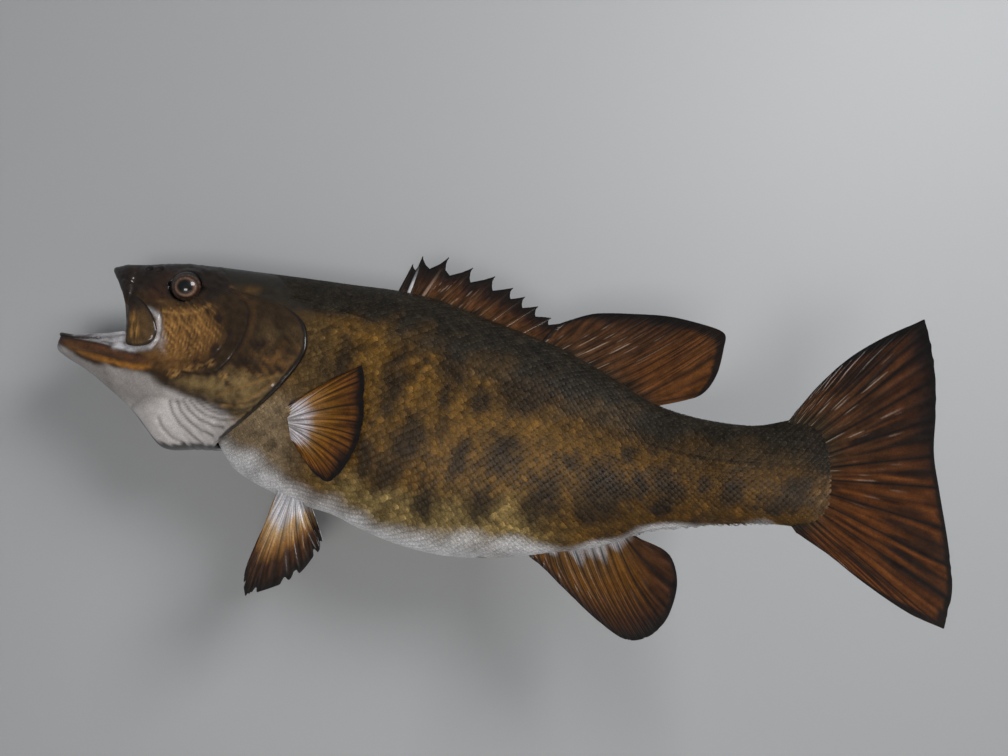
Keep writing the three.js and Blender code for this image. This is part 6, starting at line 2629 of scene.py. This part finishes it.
@dataclass
class Tongue:
    """The blunt pale tongue on the floor of the mouth.

    Args:
        anatomy: Sections of the fish.
        station: Station of its middle.
        height: Height of its middle.
        length, half_width, half_height: Its sizes.
        pitch: Angle in degrees at which its rear sinks.
    """

    anatomy: Anatomy
    station: float = 16.0
    height: float = 20.5
    length: float = 50.0
    half_width: float = 8.5
    half_height: float = 4.5
    pitch: float = 9.0

    def build(self) -> Piece:
        """Shapes a ball into the tongue and lays it in the mouth.

        Returns:
            The finished piece.
        """
        deselect()
        bpy.ops.mesh.primitive_uv_sphere_add(segments=40, ring_count=28, radius=1)
        tongue = bpy.context.object
        tongue.name = tongue.data.name = "tongue_painted"
        bpy.ops.object.shade_smooth()
        local = get_points(tongue)
        along = local[:, 0] * self.length / 2
        blunt = np.sign(local[:, 1]) * np.abs(local[:, 1]) ** 0.85
        furrow = 0.3 * bump(local[:, 1], 0, 0.2) * (local[:, 2] > 0)
        up = local[:, 2] * self.half_height * (1 - furrow)
        pitch = math.radians(self.pitch)
        s = self.station + along * math.cos(pitch) + up * math.sin(pitch)
        h = self.height - along * math.sin(pitch) + up * math.cos(pitch)
        points = self.anatomy.midline.place(s, blunt * self.half_width * 0.96, h)
        set_points(tongue, points)
        coat = Coat(len(s), (0.52, 0.43, 0.39))
        coat.shade(1 + 0.1 * ripple(s, h, local[:, 1] * 9, 5, 71))
        set_paint(tongue, coat.colour)
        finish = PaintedFinish("varnished_lining", 0.1, 0.06, 0.1, 0.7, 0.2)
        hand_over(tongue, finish, "mouth_lining", "tongue")
        return tongue


# ---- Hanger, stage and camera --------------------------------------------------------------


@dataclass
class Hanger:
    """The pine block and its steel hanger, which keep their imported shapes.

    Args:
        wood: Finish of the block.
        steel: Finish of the plate.
        screws: Finish of the screws.
    """

    wood: PlainFinish = PlainFinish("planed_pine", (0.52, 0.34, 0.18), 0.6, 0.0, 0.25)
    steel: PlainFinish = PlainFinish("zinc_plate", (0.60, 0.60, 0.58), 0.35, 1.0)
    screws: PlainFinish = PlainFinish("bright_zinc", (0.80, 0.78, 0.70), 0.22, 1.0)

    def dress(self) -> None:
        """Gives the solids that are still shown their finishes."""
        starts = {"hanging_block": self.wood, "hanger_screw": self.screws, "hanger_plate": self.steel}
        for obj in bpy.data.objects:
            for start, finish in starts.items():
                if obj.type == "MESH" and obj.name.startswith(start):
                    obj.data.materials.clear()
                    obj.data.materials.append(finish.material())
                    LOG.info("%s: packed shape", obj.name)


@dataclass
class Studio:
    """Pale floor and wall, soft light and the camera.

    Args:
        camera_place: Place of the camera, in metres.
        camera_turn: Its turn, in degrees.
        lens, sensor: Its focal length and the width of its sensor.
        floor_level: Level of the floor, in metres.
        wall_gap: Distance of the wall behind the fish's hanger, in metres.
    """

    camera_place: tuple[float, ...] = (0.0185, -0.470, -0.060)
    camera_turn: tuple[float, ...] = (96.1, 0.0, -5.8)
    lens: float = 27.04
    sensor: float = 36.0
    floor_level: float = -0.45
    wall_gap: float = 0.002

    def floor(self) -> None:
        """Lays the pale floor."""
        deselect()
        bpy.ops.mesh.primitive_plane_add(size=8, location=(0, 0, self.floor_level))
        floor = bpy.context.object
        floor.name = "studio_floor"
        floor.data.materials.append(PlainFinish("pale_floor", (0.62, 0.62, 0.62), 0.8).material())

    def wall(self) -> None:
        """Stands a pale wall behind the fish, which is only seen from the room's side."""
        deselect()
        bpy.ops.mesh.primitive_plane_add(
            size=8, location=(0, self.wall_gap, 0), rotation=(math.radians(90), 0, 0),
        )
        wall = bpy.context.object
        wall.name = "studio_wall"
        finish = FrontFinish("pale_wall", (0.385, 0.39, 0.395), 0.6)
        wall.data.materials.append(finish.material())
        wall.visible_shadow = wall.visible_diffuse = wall.visible_glossy = False

    def light(self) -> None:
        """Hangs the soft lights."""
        world = bpy.data.worlds.new("studio_air")
        bpy.context.scene.world = world
        world.use_nodes = True
        air = world.node_tree.nodes["Background"]
        air.inputs["Color"].default_value = (0.86, 0.92, 1.0, 1)
        air.inputs["Strength"].default_value = 0.20
        self.lamp("key_light", (0.70, -0.85, 0.55), 0.5, 10.5, (0.98, 0.99, 1.0))
        self.lamp("fill_light", (-0.1, -1.15, -0.42), 0.4, 6.2, (1.0, 0.97, 0.93))
        self.lamp("back_light", (0.3, 1.3, 0.15), 1.0, 7.0, (1.0, 1.0, 1.0))

    @staticmethod
    def lamp(name: str, place: Sequence[float], size: float, power: float, colour: Colour) -> None:
        """Adds one square light that faces the fish.

        Args:
            name: Name of the light.
            place: Its place, in metres.
            size: Its width, in metres.
            power: Its power, in watts.
            colour: Its linear colour.
        """
        deselect()
        bpy.ops.object.light_add(type="AREA", location=place)
        lamp = bpy.context.object
        lamp.name = name
        lamp.data.size = size
        lamp.data.energy = power
        lamp.data.color = colour
        lamp.rotation_euler = (-Vector(place)).to_track_quat("-Z", "Y").to_euler()

    def camera(self) -> None:
        """Sets the camera where the viewer stands."""
        deselect()
        turn = [math.radians(angle) for angle in self.camera_turn]
        bpy.ops.object.camera_add(location=self.camera_place, rotation=turn)
        camera = bpy.context.object
        camera.name = "viewer"
        camera.data.sensor_width = self.sensor
        camera.data.lens = self.lens
        camera.data.dof.use_dof = False
        camera.data.clip_start = 0.01
        bpy.context.scene.camera = camera
        bpy.context.scene.view_settings.view_transform = "Standard"

    def build(self) -> None:
        """Sets up the whole studio."""
        self.floor()
        self.wall()
        self.light()
        self.camera()


def main() -> None:
    """Builds the fish piece by piece."""
    logging.basicConfig(level=logging.INFO, format="%(message)s")
    anatomy = Anatomy(Midline())
    markings = Markings(anatomy)
    Skin(anatomy, markings, HeadDetail(anatomy)).build()
    Scales(anatomy, markings).build()
    FinSet(anatomy).build()
    for side in Side:
        Eye(anatomy, side).build()
        Maxilla(anatomy, side).build()
    Teeth(anatomy).build()
    Tongue(anatomy).build()
    Hanger().dress()
    Studio().build()


if __name__ == "__main__":
    main()
